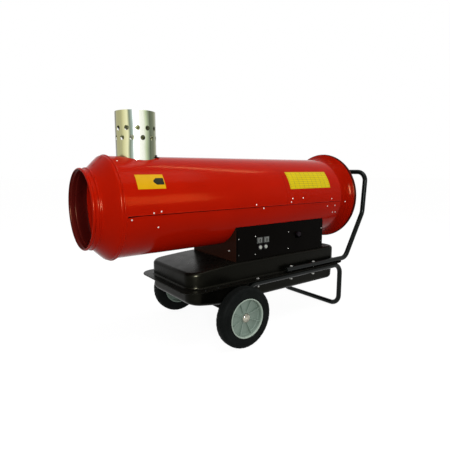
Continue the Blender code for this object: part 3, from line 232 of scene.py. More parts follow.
def tyre_rubber(name):
    """Near-black rubber with a paler grit."""
    g = Graph(name)
    cloud = g.span(g.noise(14.0, 5.0, 0.65), 0.3, 0.7, 0.0, 1.0)
    base = g.mix(cloud, (0.0034, 0.0040, 0.0038), (0.0072, 0.0085, 0.0080))
    grit = g.span(g.noise(190.0, 3.0, 0.6), 0.60, 0.74, 0.0, 0.12)
    base = g.mix(grit, base, (0.045, 0.050, 0.045))
    g.link(base, g.shader.inputs["Base Color"])
    g.link(g.span(g.noise(40.0), 0.3, 0.7, 0.48, 0.68), g.shader.inputs["Roughness"])
    g.bump(g.noise(420.0, 4.0, 0.6), 0.25, 0.0005)
    g.shader.inputs["Specular IOR Level"].default_value = 0.030
    return g.material


# Finishes, each under the key that the pieces name it by
RED_BASE = (0.385, 0.0070, 0.0008)
RED_TINT = (1.0, 0.50, 0.28)
enamel = dict(tint=RED_TINT, tone=(7.0, 0.05), rough_span=0.03, grain=(520.0, 0.035))
powder = dict(specular=0.012, tint=(0.90, 0.80, 0.70), tone=(12.0, 0.20), grain=(900.0, 0.20), dust_and_top_light=0.010,
              scuff=0.05, scuff_colour=(0.02, 0.019, 0.017))
vinyl = dict(specular=0.05, grain=(700.0, 0.04), scuff=0.10)
zinc = dict(metallic=1.0, tone=(60.0, 0.12), grain=(900.0, 0.05))
look = {
    # The red enamel's dust colour is a warm orange: painted light on the faces that face up, not dust.
    "red": finish("red_enamel", RED_BASE, 0.14, specular=0.030, dust_and_top_light=0.03, dust_and_top_light_colour=(0.42, 0.06, 0.02),
                  **enamel),
    # A darker copy of the red enamel for the inlet bell: painted shade; its gloss is lower too.
    "red_bell_shaded": finish("red_enamel_painted_bell_shade", shade(RED_BASE, 0.78), 0.16, specular=0.007, **enamel),
    # A near-black red for the rear band of the bell's rolled lip: painted shade on that edge.
    "red_edge": finish("red_shaded_edge", (0.040, 0.0012, 0.0012), 0.34, specular=0.02, tint=RED_TINT),
    # A darker copy of the red enamel for the faces inside the outlet: painted shade in the recess.
    "red_shaded_inside": finish("red_enamel_painted_inner_shade", (0.100, 0.0065, 0.0050), 0.30, specular=0.07, tint=RED_TINT,
                     tone=(7.0, 0.10)),
    # A near-black red for thin sheets under the casing's seams: painted shadow.
    "seam_shadow": finish("dark_red_painted_seam_shadow", (0.022, 0.0010, 0.0008), 0.5, specular=0.04, tone=(40.0, 0.2)),
    "gloss": finish("black_gloss_enamel", (0.0013, 0.0013, 0.0010), 0.30, specular=0.055,
                    tint=(0.95, 0.92, 0.66), tone=(8.0, 0.20), grain=(430.0, 0.05), dust_and_top_light=0.012, scuff=0.04,
                    scuff_colour=(0.02, 0.02, 0.018)),
    "tube": finish("black_tube_enamel", (0.0022, 0.0026, 0.0025), 0.17, specular=0.15,
                   tint=(0.80, 0.88, 0.85), tone=(15.0, 0.22), grain=(600.0, 0.06), scuff=0.08,
                   scuff_colour=(0.03, 0.03, 0.028)),
    "satin": finish("black_satin_powder", (0.0024, 0.0021, 0.0018), 0.36, **powder),
    # A copy of the black powder whose faces toward the outlet are painted a lit brown: painted light.
    "box": finish("black_box_powder_painted_front_light", (0.0024, 0.0021, 0.0018), 0.36, ahead=(0.026, 0.0095, 0.0058),
                  **powder),
    # The flue sleeve's light and dark bands are painted reflections set by the angle round it.
    "sleeve": metal_with_painted_reflections("bright_sheet_painted_reflections", 0.16),
    "duct": rolled_metal("flue_inner_sheet", (0.20, 0.19, 0.15), 0.34),
    "steel": finish("plain_sheet_steel", (0.20, 0.19, 0.18), 0.42, metallic=1.0, tone=(18.0, 0.25),
                    rough_span=0.12, grain=(300.0, 0.08)),
    "zinc": finish("zinc_plate", (0.62, 0.61, 0.57), 0.27, **zinc),
    "bolt": finish("dull_zinc_plate", (0.33, 0.33, 0.31), 0.34, **zinc),
    # The chrome's dark base and strong blotchy tone stand in for dark surroundings: painted reflections.
    "chrome": finish("chrome_painted_dark_reflections", (0.34, 0.33, 0.27), 0.10, metallic=1.0, tone=(75.0, 0.75),
                     rough_span=0.03, grain=(300.0, 0.01)),
    "brass": finish("machined_brass", (0.55, 0.38, 0.13), 0.30, metallic=1.0, tone=(50.0, 0.12)),
    "copper": finish("drawn_copper", (0.56, 0.25, 0.14), 0.30, metallic=1.0, tone=(40.0, 0.15)),
    "cast": finish("cast_aluminium", (0.50, 0.51, 0.52), 0.44, metallic=1.0, tone=(40.0, 0.12),
                   grain=(520.0, 0.25)),
    "rim": finish("grey_moulded_plastic", (0.195, 0.255, 0.215), 0.42, specular=0.25, tone=(24.0, 0.07),
                  grain=(420.0, 0.14), dust_and_top_light=0.06, scuff=0.10, scuff_colour=(0.12, 0.14, 0.12)),
    # A paler copy of the rim's plastic for its outer lip: painted light.
    "rim_painted_lit_lip": finish("grey_plastic_painted_lit_lip", (0.33, 0.40, 0.34), 0.40, specular=0.30, tone=(24.0, 0.07),
                      grain=(420.0, 0.14)),
    "bezel": finish("bezel_grey_plastic", (0.075, 0.080, 0.075), 0.36, specular=0.15, tone=(90.0, 0.08),
                    grain=(900.0, 0.06)),
    "socket": finish("socket_plastic", (0.0090, 0.0062, 0.0090), 0.36, specular=0.05, tone=(70.0, 0.2),
                     grain=(900.0, 0.1)),
    "switch": finish("switch_grey_plastic", (0.185, 0.195, 0.185), 0.32, specular=0.25, tone=(90.0, 0.08),
                     grain=(900.0, 0.06)),
    "button": finish("button_grey_plastic", (0.36, 0.38, 0.34), 0.36, specular=0.40, tone=(90.0, 0.05),
                     grain=(900.0, 0.06)),
    "plastic": finish("black_moulded_plastic", (0.0048, 0.0038, 0.0048), 0.34, specular=0.14,
                      tint=(1.0, 0.86, 1.0), tone=(60.0, 0.15), grain=(800.0, 0.15)),
    "white": finish("white_moulded_plastic", (0.62, 0.61, 0.55), 0.42, tone=(30.0, 0.05),
                    grain=(700.0, 0.08)),
    "rubber": finish("black_rubber", (0.022, 0.024, 0.023), 0.68, specular=0.3, tone=(50.0, 0.15),
                     grain=(500.0, 0.3)),
    "tyre": tyre_rubber("tyre_rubber"),
    "ceramic": finish("glazed_ceramic", (0.70, 0.67, 0.58), 0.25, tone=(40.0, 0.04), grain=(400.0, 0.03)),
    "label_a": finish("amber_label_vinyl", (0.600, 0.330, 0.0035), 0.34, tone=(26.0, 0.05),
                      scuff_colour=(0.45, 0.25, 0.01), **vinyl),
    "label_b": finish("yellow_label_vinyl", (0.620, 0.480, 0.004), 0.34, tone=(26.0, 0.06),
                      scuff_colour=(0.40, 0.30, 0.01), **vinyl),
    "ink": finish("dark_label_ink", (0.014, 0.017, 0.008), 0.38, specular=0.06, tone=(50.0, 0.15)),
    "ruling": finish("faded_label_ink", (0.20, 0.155, 0.010), 0.40, specular=0.2, tone=(90.0, 0.25)),
}


# Mesh helpers
def make_object(name, work):
    """A linked object from a bmesh, its faces turned outward."""
    bmesh.ops.recalc_face_normals(work, faces=work.faces)
    mesh = bpy.data.meshes.new(name)
    work.to_mesh(mesh)
    work.free()
    item = bpy.data.objects.new(name, mesh)
    bpy.context.scene.collection.objects.link(item)
    return item


def carve(item, cutter):
    """Takes the cutter's shape out of a piece for good, and removes the cutter."""
    step = item.modifiers.new("carve", "BOOLEAN")
    step.operation = "DIFFERENCE"
    step.solver = "EXACT"
    step.object = cutter
    graph = bpy.context.evaluated_depsgraph_get()
    result = bpy.data.meshes.new_from_object(item.evaluated_get(graph))
    item.modifiers.remove(step)
    item.data = result
    bpy.data.objects.remove(cutter, do_unlink=True)


def emit(name, work, material, body=ROOT, replaces=(), slot=None, sharp=SHARP, cuts=()):
    """A finished piece from a bmesh: smooth with sharp creases, on its body."""
    item = make_object(name, work)
    for cutter in cuts:
        carve(item, cutter)
    item.data.shade_smooth()
    item.data.set_sharp_from_angle(angle=sharp)
    item.data.materials.clear()
    item.data.materials.append(look[material])
    item.modifiers.new("even_shading", "WEIGHTED_NORMAL").keep_sharp = True
    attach(item, body)
    if replaces:
        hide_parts(*replaces)
    return item


def repaint(item, material, chosen):
    """Gives a second material to the faces that a test chooses."""
    item.data.materials.append(look[material])
    for face in item.data.polygons:
        face.material_index = 1 if chosen(face) else 0


def angles(sweep, steps):
    """Evenly spaced angles from nought to a sweep, both included."""
    return [sweep * i / steps for i in range(steps + 1)]


def around(count, shift=0.0):
    """Evenly spaced angles of a whole turn."""
    return [tau * (k + shift) / count for k in range(count)]


def on_casing(x, radius, angle):
    """A point round the casing's axis. Angles run from +Y over the top to -Y."""
    return Vector((x, radius * cos(angle), AXIS + radius * sin(angle)))


def placed(origin, angle, letter="Z"):
    """Takes a piece to a place, turned about one axis."""
    return Matrix.Translation(origin) @ Matrix.Rotation(angle, 4, letter)


def turn_frame(axis, origin):
    """Takes (across, across, along) to the part's frame for a piece turned about an axis."""
    facing = {"X": ((0, 0, -1), (0, 1, 0), (1, 0, 0)), "Y": ((0, 0, 1), (1, 0, 0), (0, 1, 0)),
              "-Y": ((1, 0, 0), (0, 0, 1), (0, -1, 0)), "Z": ((1, 0, 0), (0, 1, 0), (0, 0, 1))}[axis]
    made = Matrix(facing).transposed().to_4x4()
    made.translation = Vector(origin)
    return made


def revolve(work, profile, steps, matrix, closed=True):
    """Turns (along, radius[, four-lobed share]) points about local Z. One on the axis becomes one vertex."""
    rows = []
    for along, radius, *lobe in profile:
        if radius < 1e-7:
            rows.append([work.verts.new(matrix @ Vector((0, 0, along)))] * steps)
            continue
        ring = []
        for a in around(steps):
            r = radius * (1 + sum(lobe) * cos(4 * a))
            ring.append(work.verts.new(matrix @ Vector((r * cos(a), r * sin(a), along))))
        rows.append(ring)
    pairs = zip(rows, rows[1:] + rows[:1]) if closed else zip(rows, rows[1:])
    for a, b in pairs:
        for i in range(steps):
            j = (i + 1) % steps
            corners = []
            for v in (a[i], a[j], b[j], b[i]):
                if v not in corners:
                    corners.append(v)
            if len(corners) > 2:
                work.faces.new(corners)


def soften(profile, radius, closed=True, steps=3):
    """Rounds the corners of an outline of (along, radius) points, but for slight ones."""
    points = [Vector(p) for p in profile]
    count = len(points)
    result = []
    for i, point in enumerate(points):
        if not closed and i in (0, count - 1):
            result.append(tuple(point))
            continue
        before, after = points[i - 1] - point, points[(i + 1) % count] - point
        turn = pi - before.angle(after)
        if turn < radians(24) or point.y < 1e-7:
            result.append(tuple(point))
            continue
        half = (pi - turn) / 2
        reach = min(radius / tan(half), 0.45 * before.length, 0.45 * after.length)
        bend = reach * tan(half)
        before, after = before.normalized(), after.normalized()
        centre = point + (before + after).normalized() * (bend / sin(half))
        first, last = point + before * reach - centre, point + after * reach - centre
        for k in range(steps + 1):
            mid = first * (1 - k / steps) + last * (k / steps)
            result.append(tuple(centre + mid.normalized() * bend))
    return result


def skin(line):
    """Closes the outer skin of a turned sheet with a line set in from it by the sheet's thickness."""
    sheet = 0.0014
    inside = []
    for i, point in enumerate(line):
        normals = []
        for a, b in ((i - 1, i), (i, i + 1)):
            if 0 <= a and b < len(line):
                run, rise = line[b][0] - line[a][0], line[b][1] - line[a][1]
                normals.append(Vector((rise, -run)).normalized())
        mean = sum(normals, Vector((0, 0))).normalized()
        reach = sheet / max(0.35, mean.dot(normals[0]))
        inside.append((point[0] + mean.x * reach, point[1] + mean.y * reach))
    return line + inside[::-1]


def bead(centre, base, radius, steps=8, sweep=pi):
    """Part of a circle on a turned outline, from its front foot over the top."""
    return [(centre - radius * cos(a), base + radius * sin(a)) for a in angles(sweep, steps)]


def rod(low, high, radius, rounding=0.0, steps=3):
    """The outline of a round bar between two places on its axis."""
    line = [(low, 0.0), (low, radius), (high, radius), (high, 0.0)]
    return soften(line, rounding, False, steps) if rounding else line


def turned(name, profile, material, origin, axis, steps, closed=True, **rest):
    """A finished piece turned about an axis."""
    work = bmesh.new()
    revolve(work, profile, steps, turn_frame(axis, origin), closed)
    return emit(name, work, material, **rest)


def drill(low, high, radius, steps, matrix):
    """A round cutter."""
    work = bmesh.new()
    revolve(work, rod(low, high, radius), steps, matrix, False)
    return make_object("cutter", work)


def bridge(work, rows):
    """Faces between each closed row of vertices and the next."""
    for a, b in zip(rows, rows[1:]):
        for j in range(len(a)):
            k = (j + 1) % len(a)
            work.faces.new((a[j], a[k], b[k], b[j]))


def loft(work, rings):
    """Skins equal closed loops. An end is closed by rungs between its opposite points."""
    rows = [[work.verts.new(point) for point in ring] for ring in rings]
    bridge(work, rows)
    for row in (rows[0], rows[-1]):
        n = len(row)
        for j in range(n // 2 - 1):
            work.faces.new((row[j], row[j + 1], row[n - 2 - j], row[n - 1 - j]))


def lofted(name, groups, material, **rest):
    """A finished piece from one or more sets of closed loops."""
    work = bmesh.new()
    for rings in groups:
        loft(work, rings)
    return emit(name, work, material, **rest)


def sheet_section(station, low, high, inner, outer, steps):
    """The closed outline of a thin sheet on the casing at one station, between two angles."""
    turns = [low + a for a in angles(high - low, steps)]
    out = [on_casing(st(station), outer, a) for a in turns]
    return out + [on_casing(st(station), inner, a) for a in reversed(turns)]


def arc_shell(name, start, end, inner, outer, low, high, **rest):
    """A red sheet along the casing between two stations and two angles.

    Its long edges are thinned, and a very fine groove runs just inside each end.
    """
    edge, steps = 0.0006, 120
    dip = edge * (1 - sqrt(0.75))
    x0, x1 = st(start), st(end)
    rings = []
    for x, lift in ((x0, 0.0), (x0 + edge / 2, dip), (x0 + edge, 0.0),
                    (x1 - edge, 0.0), (x1 - edge / 2, dip), (x1, 0.0)):
        first, last = low + lift / outer, high - lift / outer
        turns = [first + a for a in angles(last - first, steps)]
        insets = [lift + edge / 2] + [lift] * (steps - 1) + [lift + edge / 2]
        out = [on_casing(x, outer - inset, a) for inset, a in zip(insets, turns)]
        back = [on_casing(x, inner + inset, a) for inset, a in zip(insets, turns)]
        rings.append(out + back[::-1])
    return lofted(name, [rings], "red", slot="red_paint", **rest)


def rounded_path(corners, bends):
    """A path through corners, each inner one rounded by its bend."""
    corners = [Vector(c) for c in corners]
    path = [corners[0]]
    for before, corner, after, bend in zip(corners, corners[1:], corners[2:], bends):
        back, ahead = (before - corner).normalized(), (after - corner).normalized()
        half = back.angle(ahead) / 2
        centre = corner + (back + ahead).normalized() * (bend / sin(half))
        start = corner + back * (bend / tan(half)) - centre
        for angle in angles(pi - 2 * half, 10):
            path.append(centre + start * cos(angle) - back * bend * sin(angle))
    path.append(corners[-1])
    return path


def tube(work, points, radius, sides=28, round_end=0.0015):
    """A round bar along a path, its ends softened. Each ring turns as little as it can from the last."""
    points = [Vector(p) for p in points]
    last = len(points) - 1
    ends = {0: [(0.0, 1.0), (0.4, 0.3), (1.0, 0.0)], last: [(-1.0, 0.0), (-0.4, 0.3), (0.0, 1.0)]}
    rings, side = [], None
    for i, point in enumerate(points):
        ahead = (points[min(i + 1, last)] - points[max(i - 1, 0)]).normalized()
        if side is None:
            side = ahead.orthogonal().normalized()
        side = (side - ahead * side.dot(ahead)).normalized()
        other = ahead.cross(side)
        for along, trim in ends.get(i, [(0.0, 0.0)]):
            centre, r = point + ahead * round_end * along, radius - round_end * trim
            rings.append([centre + (side * cos(a) + other * sin(a)) * r
                          for a in around(sides, 0.5)])
    loft(work, rings)


def block(work, low, high, rounding, segments, matrix):
    """A block with rounded edges."""
    low, high = Vector(low), Vector(high)
    piece = bmesh.new()
    bmesh.ops.create_cube(piece, size=1.0)
    bmesh.ops.scale(piece, vec=high - low, verts=piece.verts)
    bmesh.ops.translate(piece, vec=(low + high) / 2, verts=piece.verts)
    if rounding:
        bmesh.ops.bevel(piece, geom=piece.edges[:], offset=rounding, segments=segments, affect="EDGES",
                        profile=0.5)
    if matrix:
        bmesh.ops.transform(piece, matrix=matrix, verts=piece.verts)
    mesh = bpy.data.meshes.new("block")
    piece.to_mesh(mesh)
    piece.free()
    work.from_mesh(mesh)
    bpy.data.meshes.remove(mesh)


def pad(work, centre, half, depth, rounding=0.0, segments=3, matrix=None):
    """A block about an (x, z) centre, by its half width and height, between two places along Y."""
    (x, z), (wide, tall), (y0, y1) = centre, half, depth
    block(work, (x - wide, y0, z - tall), (x + wide, y1, z + tall), rounding, segments, matrix)


def notch(*shape):
    """A cutter made as a pad is."""
    work = bmesh.new()
    pad(work, *shape)
    return make_object("cutter", work)


def plate(name, loops, low, high, material, **rest):
    """A plate facing -Y, cut to closed (x, z) loops, the first outside and the rest holes."""
    bevel = 0.0004
    curve = bpy.data.curves.new(name, "CURVE")
    curve.dimensions = "2D"
    curve.fill_mode = "BOTH"
    curve.extrude = (high - low) / 2 - bevel
    curve.bevel_depth = bevel
    curve.bevel_resolution = 2
    curve.offset = -bevel
    for loop in loops:
        spline = curve.splines.new("POLY")
        spline.points.add(len(loop) - 1)
        for point, (x, z) in zip(spline.points, loop):
            point.co = (x, z, 0, 1)
        spline.use_cyclic_u = True
    source = bpy.data.objects.new(name, curve)
    bpy.context.scene.collection.objects.link(source)
    graph = bpy.context.evaluated_depsgraph_get()
    mesh = bpy.data.meshes.new_from_object(source.evaluated_get(graph))
    bpy.data.objects.remove(source, do_unlink=True)
    mesh.transform(placed((0, (low + high) / 2, 0), pi / 2, "X"))
    work = bmesh.new()
    work.from_mesh(mesh)
    bmesh.ops.remove_doubles(work, verts=work.verts, dist=0.00001)
    return emit(name, work, material, **rest)


def rounded_loop(x, z, wide, tall, radius, steps):
    """A rounded rectangle about a centre, by its half width and height."""
    loop = []
    for quarter, (a, b) in enumerate(((1, 1), (-1, 1), (-1, -1), (1, -1))):
        for i in range(steps + 1):
            turn = (quarter + i / steps) * pi / 2
            loop.append((x + a * (wide - radius) + radius * cos(turn),
                         z + b * (tall - radius) + radius * sin(turn)))
    return loop


def rounded_corners(x0, x1, y, radius, steps):
    """The two runs of points round the far corners of a rectangle."""
    bend = [(radius * cos(a), radius * sin(a)) for a in angles(pi / 2, steps)]
    rear = [(x1 - radius + u, y - radius + v) for u, v in bend]
    return rear, [(x0 + radius - v, y - radius + u) for u, v in bend]


def with_near_half(half):
    """A whole outline from its far half, so that opposite points pair up."""
    return half + [(x, -y, *rest) for x, y, *rest in reversed(half)]


# Casing: two upper covers over a lower shell. A heat exchanger's drum lies inside
UPPER, UPPER_IN = 0.190, 0.1885
LOWER, LOWER_IN = 0.1882, 0.1867
DRUM = 0.150
SEAM = asin(0.0127 / UPPER)
LAP = 0.016 / LOWER
REAR, JOINT, FRONT = 1.225, 0.845, 0.0853
flue_frame = turn_frame("Z", (st(FLUE), 0, 0))
casing_frame = turn_frame("X", (0, 0, AXIS))

arc_shell("casing_front_cover", FRONT, JOINT - 0.0004, UPPER_IN, UPPER, -SEAM, pi + SEAM,
          replaces=["upper_front_shell"], cuts=[drill(0.70, 0.80, 0.067, 48, flue_frame)])
arc_shell("casing_rear_cover", JOINT + 0.0004, REAR, UPPER_IN, UPPER, -SEAM, pi + SEAM,
          replaces=["upper_rear_cover"])
arc_shell("casing_lower_shell", FRONT, REAR, LOWER_IN, LOWER, pi + SEAM - LAP, tau + LAP - SEAM,
          replaces=["lower_shell"])


def hem(start, end, angle):
    """A round folded edge that runs along the casing at an angle."""
    x0, x1 = st(start), st(end)
    centre = on_casing(0, UPPER - 0.0004, angle)
    rings = []
    for x, radius in ((x0, 0.0008), (x0 + 0.0006, 0.0016), (x1 - 0.0006, 0.0016), (x1, 0.0008)):
        rings.append([(x, centre.y + radius * cos(a), centre.z + radius * sin(a))
                      for a in around(10, 0.5)])
    return rings


for name, start, end in (("front", FRONT + 0.003, JOINT - 0.0008), ("rear", JOINT + 0.0008, REAR - 0.002)):
    lofted("seam_hem_" + name, [hem(start, end, a) for a in (-SEAM, pi + SEAM)], "red",
           slot="red_paint")
# Thin dark sheets on the lower shell just under each seam's edge, wider near the outlet: painted shadow under
# the lapped edge.
far, near = [], []
for x, wide in ((FRONT + 0.004, 0.010), (FRONT + 0.010, 0.040), (FRONT + 0.055, 0.022),
                (REAR - 0.003, 0.018)):
    far.append(sheet_section(x, -SEAM - wide, -SEAM, LOWER - 0.0002, LOWER + 0.0003, 4))
    near.append(sheet_section(x, pi + SEAM, pi + SEAM + wide, LOWER - 0.0002, LOWER + 0.0003, 4))
lofted("seam_sealant", [far, near], "seam_shadow", slot="red_paint")

# Outlet cone, its beaded collar and band, and the lapped seam along its top
NECK, BAND = 0.142, 0.1918
SLOPE_FOOT, SLOPE_TOP = (0.0440, 0.1556), (0.0780, BAND - 0.0030)
line = bead(0.0055, NECK, 0.0055, 10, radians(165))
line += [(0.0125, NECK), (0.0205, NECK + 0.0012)]
line += bead(0.0265, NECK + 0.0030, 0.0040, 9, radians(160))
line += [(0.0325, NECK + 0.0050), (0.0380, NECK + 0.0090)]
line += [tuple(Vector(SLOPE_FOOT).lerp(Vector(SLOPE_TOP), k / 4)) for k in range(4)]
line += [(0.0800, BAND - 0.0016), (0.0832, BAND - 0.0004), (0.0860, BAND)]
line += bead(0.0925, BAND, 0.0032)
line += [(0.0985, BAND), (0.1010, BAND), (0.1015, BAND - 0.0004)]
cone = turned("outlet_cone_sheet", skin(line), "red", (st(0), 0, AXIS), "X", 144,
              replaces=["outlet_cone"], slot="red_paint")
# Faces turned in toward the axis get the darker red: painted shade inside the outlet.
repaint(cone, "red_shaded_inside",
        lambda face: Vector((0, face.center.y, face.center.z - AXIS)).dot(face.normal) < 0)

rings = []
for x, r in ((0.0420, 0.1525), (0.0450, 0.1569), (0.0560, 0.1675), (0.0680, 0.1796), (0.0770, 0.1884),
             (0.0795, 0.1900)):
    rings.append([on_casing(st(x), r + lift, radians(97) + side * 0.0085 / r)
                  for side, lift in ((-1, 0.0), (-0.8, 0.0011), (0.8, 0.0011), (1, 0.0))])
lofted("cone_lap_seam", [rings], "red", slot="red_paint")

# Inlet bell: a flare along an arc that meets the rolled lip
BELL, ROLL = 0.1864, 0.0160
roll_x, roll_base, roll_start = REAR + 0.093 - ROLL, 0.2209 - ROLL, radians(35)
reach = roll_x - ROLL * cos(roll_start) - REAR
rise = roll_base + ROLL * sin(roll_start) - BELL
flare = (reach ** 2 + rise ** 2) / (2 * rise)
line = [(REAR - 0.022, BELL), (REAR - 0.008, BELL), (REAR, BELL)]
line += [(REAR + flare * sin(a), BELL + flare * (1 - cos(a)))
         for a in angles(asin(reach / flare), 14)[1:]]
line += [(roll_x - ROLL * cos(roll_start + a), roll_base + ROLL * sin(roll_start + a))
         for a in angles(radians(150), 16)[1:]]
bell = turned("inlet_bell_sheet", skin(line), "red_bell_shaded", (st(0), 0, AXIS), "X", 144,
              replaces=["inlet_bell"], slot="red_paint")
# The faces of the rear part of the rolled lip get the near-black red: painted shade on the edge.
repaint(bell, "red_edge", lambda face: face.center.x > st(roll_x - 0.0085))

# Wire guard in the mouth of the bell
GUARD, GUARD_OUT, GUARD_HUB, WIRE = st(1.3105), 0.2152, 0.034, 0.0018
guard = bmesh.new()
guard_frame = turn_frame("X", (GUARD, 0, AXIS))
for k in range(7):
    r = GUARD_OUT - (GUARD_OUT - GUARD_HUB) * k / 7
    revolve(guard, [(WIRE * cos(a), r + WIRE * sin(a)) for a in around(8)], 72, guard_frame)
revolve(guard, rod(-0.0022, 0.0022, 0.030, 0.0012), 40, guard_frame, False)
for a in around(12, 0.5):
    tube(guard, [on_casing(GUARD, r, a) for r in (0.027, GUARD_OUT)], 0.0019, 8, 0.0004)
emit("inlet_guard_wires", guard, "tube", replaces=["inlet_guard"], slot="black_satin")


# Flue sleeve with two rows of holes, sitting on the casing, and the duct inside it
def pipe(low, high, inner, outer, rounding):
    """The closed outline of a pipe's wall."""
    return soften([(low, inner), (low, outer), (high, outer), (high, inner)], rounding)


SLEEVE, SLEEVE_IN, SLEEVE_TOP = 0.0750, 0.0735, 0.9164
DUCT, DUCT_IN = 0.063, 0.061
SADDLE = (st(0.05), st(0.42))
holes = bmesh.new()
for shift, level in ((0.0, 0.819), (0.5, 0.8535)):
    for a in around(12, shift):
        facing = placed((st(FLUE), 0, level), radians(26) + a) @ Matrix.Rotation(pi / 2, 4, "Y")
        revolve(holes, rod(0.062, 0.088, 0.009), 24, facing, False)
turned("flue_sleeve_sheet", pipe(0.660, SLEEVE_TOP, SLEEVE_IN, SLEEVE, 0.0005), "sleeve", (st(FLUE), 0, 0),
       "Z", 144, replaces=["flue_sleeve"], slot="galvanised",
       cuts=[make_object("cutter", holes), drill(*SADDLE, UPPER + 0.0003, 144, casing_frame)])
turned("flue_duct_pipe", pipe(0.690, 0.800, DUCT_IN, DUCT, 0.0006), "duct", (st(FLUE), 0, 0), "Z", 96,
       replaces=["flue_duct"], slot="galvanised",
       cuts=[drill(*SADDLE, DRUM + 0.0003, 96, casing_frame)])

# Small clip at the rear foot of the sleeve
clip = bmesh.new()
turn = placed((st(FLUE), 0, -0.0055), radians(-38))
block(clip, (0.0755, -0.008, 0.7535), (0.0785, 0.008, 0.7635), 0.0010, 3, turn)
block(clip, (0.0755, -0.008, 0.7534), (0.0865, 0.008, 0.7564), 0.0010, 3, turn)
emit("sleeve_clip", clip, "plastic", slot="black_satin")

# Heat exchanger drum, whose domed front shows through the outlet
drum = [(0.120, 0.0), (0.1205, 0.050), (0.122, 0.100)]
drum += [(0.150 - 0.028 * cos(a), DRUM - 0.028 + 0.028 * sin(a)) for a in angles(pi / 2, 10)]
drum += [(0.810, DRUM), (0.810, 0.1085), (0.808, 0.1085), (0.808, DRUM - 0.002), (0.150, DRUM - 0.002),
         (0.124, 0.120), (0.122, 0.0)]
turned("exchanger_drum", drum, "steel", (st(0), 0, AXIS), "X", 72, False, replaces=["heat_exchanger"],
       slot="plain_steel")

# Fan with cambered blades
BLADE_FOOT, BLADE_TIP = 0.042, 0.1778
fan = bmesh.new()
fan_frame = turn_frame("X", (st(1.203), 0, AXIS))
revolve(fan, rod(0.0, 0.032, 0.045, 0.006, 6), 48, fan_frame, False)
for blade in around(5):
    rings = []
    for i in range(11):
        share = i / 10
        radius = BLADE_FOOT + (BLADE_TIP - BLADE_FOOT) * share
        chord = 0.046 + 0.059 * share
        pitch = radians(34 - 18 * share)
        front, back = [], []
        for j in range(13):
            along = (j / 12 - 0.5) * chord
            arch = 0.05 * chord * (1 - (2 * along / chord) ** 2)
            thin = 0.001 * sqrt(max(0.04, 1 - (2 * along / chord) ** 4))
            for side, row in ((arch - thin, front), (arch + thin, back)):
                axial = 0.016 + along * sin(pitch) + side * cos(pitch)
                turn = (along * cos(pitch) - side * sin(pitch)) / radius + blade
                row.append(fan_frame @ Vector((radius * cos(turn), radius * sin(turn), axial)))
        rings.append(front + back[::-1])
    loft(fan, rings)
emit("fan_rotor", fan, "cast", body="fan", replaces=["fan"], slot="aluminium")

# Fuel tank: two pressed halves with a seam flange
TANK_FRONT, TANK_REAR, TANK_SIDE = st(0.347), st(1.219), 0.180
TOP_NOSE, TOP_FALL = 0.235, -0.017
PAN_NOSE, PAN_RISE = 0.145, 0.022
TOP_SEAM, PAN_SEAM = 0.24065, 0.24035
FLANGE = ((-0.002, 0.0), (0.0362, 0.0), (0.0370, 0.0004), (0.0370, 0.0014), (0.0362, 0.0020))


def tank_ring(outset, height, slope=0.0, nose=TOP_NOSE, bend=1.45):
    """A rounded rectangle round the tank, the nose bent down or up along a curve."""
    x0, x1, y = TANK_FRONT - outset, TANK_REAR + outset, TANK_SIDE + outset
    radius = 0.056 + min(0.0, outset) + 0.010 * max(0.0, outset) / 0.037
    rear, front = rounded_corners(x0, x1, y, radius, 12)
    mid = TANK_FRONT + nose
    run0, run1 = x1 - radius, x0 + radius
    sides = [(run0 + (mid - run0) * k / 3, y) for k in (1, 2, 3)]
    sides += [(mid + (run1 - mid) * k / 9, y) for k in range(1, 9)]
    loop = []
    for x, y in with_near_half(rear + sides + front):
        share = max(0.0, (mid - x) / nose)
        loop.append((x, y, height + slope * min(share, 1.2) ** bend))
    return loop


def pan_ring(outset, height, slope=0.0):
    """The same for the pan, whose nose is shorter and rises nearly straight."""
    return tank_ring(outset, height, slope, PAN_NOSE, 1.12)


def quarter_round(radius):
    """Insets and rises from a wall over its rounded edge."""
    return [(radius * (1 - cos(a)), radius * sin(a)) for a in angles(pi / 2, 7)]


rings = [tank_ring(-0.018, 0.3165, TOP_FALL), tank_ring(-0.006, 0.3120, TOP_FALL),
         tank_ring(-0.002, 0.300, TOP_FALL)]
rings += [tank_ring(outset, TOP_SEAM + rise) for outset, rise in FLANGE]
rings += [tank_ring(0.0075, TOP_SEAM + 0.0020)]
rings += [tank_ring(0.0070 * (1 - sin(a)), TOP_SEAM + 0.0020 + 0.0070 * (1 - cos(a)))
          for a in angles(pi / 2, 6)[1:]]
rings += [tank_ring(0.0, 0.262, -0.004), tank_ring(0.0, 0.290, -0.012)]
rings += [tank_ring(-inset, 0.3065 + rise, TOP_FALL) for inset, rise in quarter_round(0.014)]
rings += [tank_ring(-0.024, 0.3205, TOP_FALL)]
lofted("tank_top_pressing", [rings], "gloss", replaces=["tank_upper"], slot="black_gloss",
       sharp=radians(50))

rings = [pan_ring(-0.026, 0.1580, PAN_RISE), pan_ring(-0.0085, 0.166, PAN_RISE),
         pan_ring(-0.005, 0.178, 0.016)]
rings += [pan_ring(outset, PAN_SEAM - rise) for outset, rise in FLANGE]
rings += [pan_ring(outset, PAN_SEAM - fall)
          for outset, fall in ((0.0045, 0.0020), (0.0015, 0.0026), (0.0, 0.0050), (-0.0004, 0.012))]
rings += [pan_ring(-0.0035 - inset, 0.1735 - fall, PAN_RISE) for inset, fall in quarter_round(0.018)]
rings += [pan_ring(-0.030, 0.1555, PAN_RISE)]
lofted("tank_bottom_pressing", [rings], "gloss", replaces=["tank_lower"], slot="black_gloss",
       sharp=radians(50))

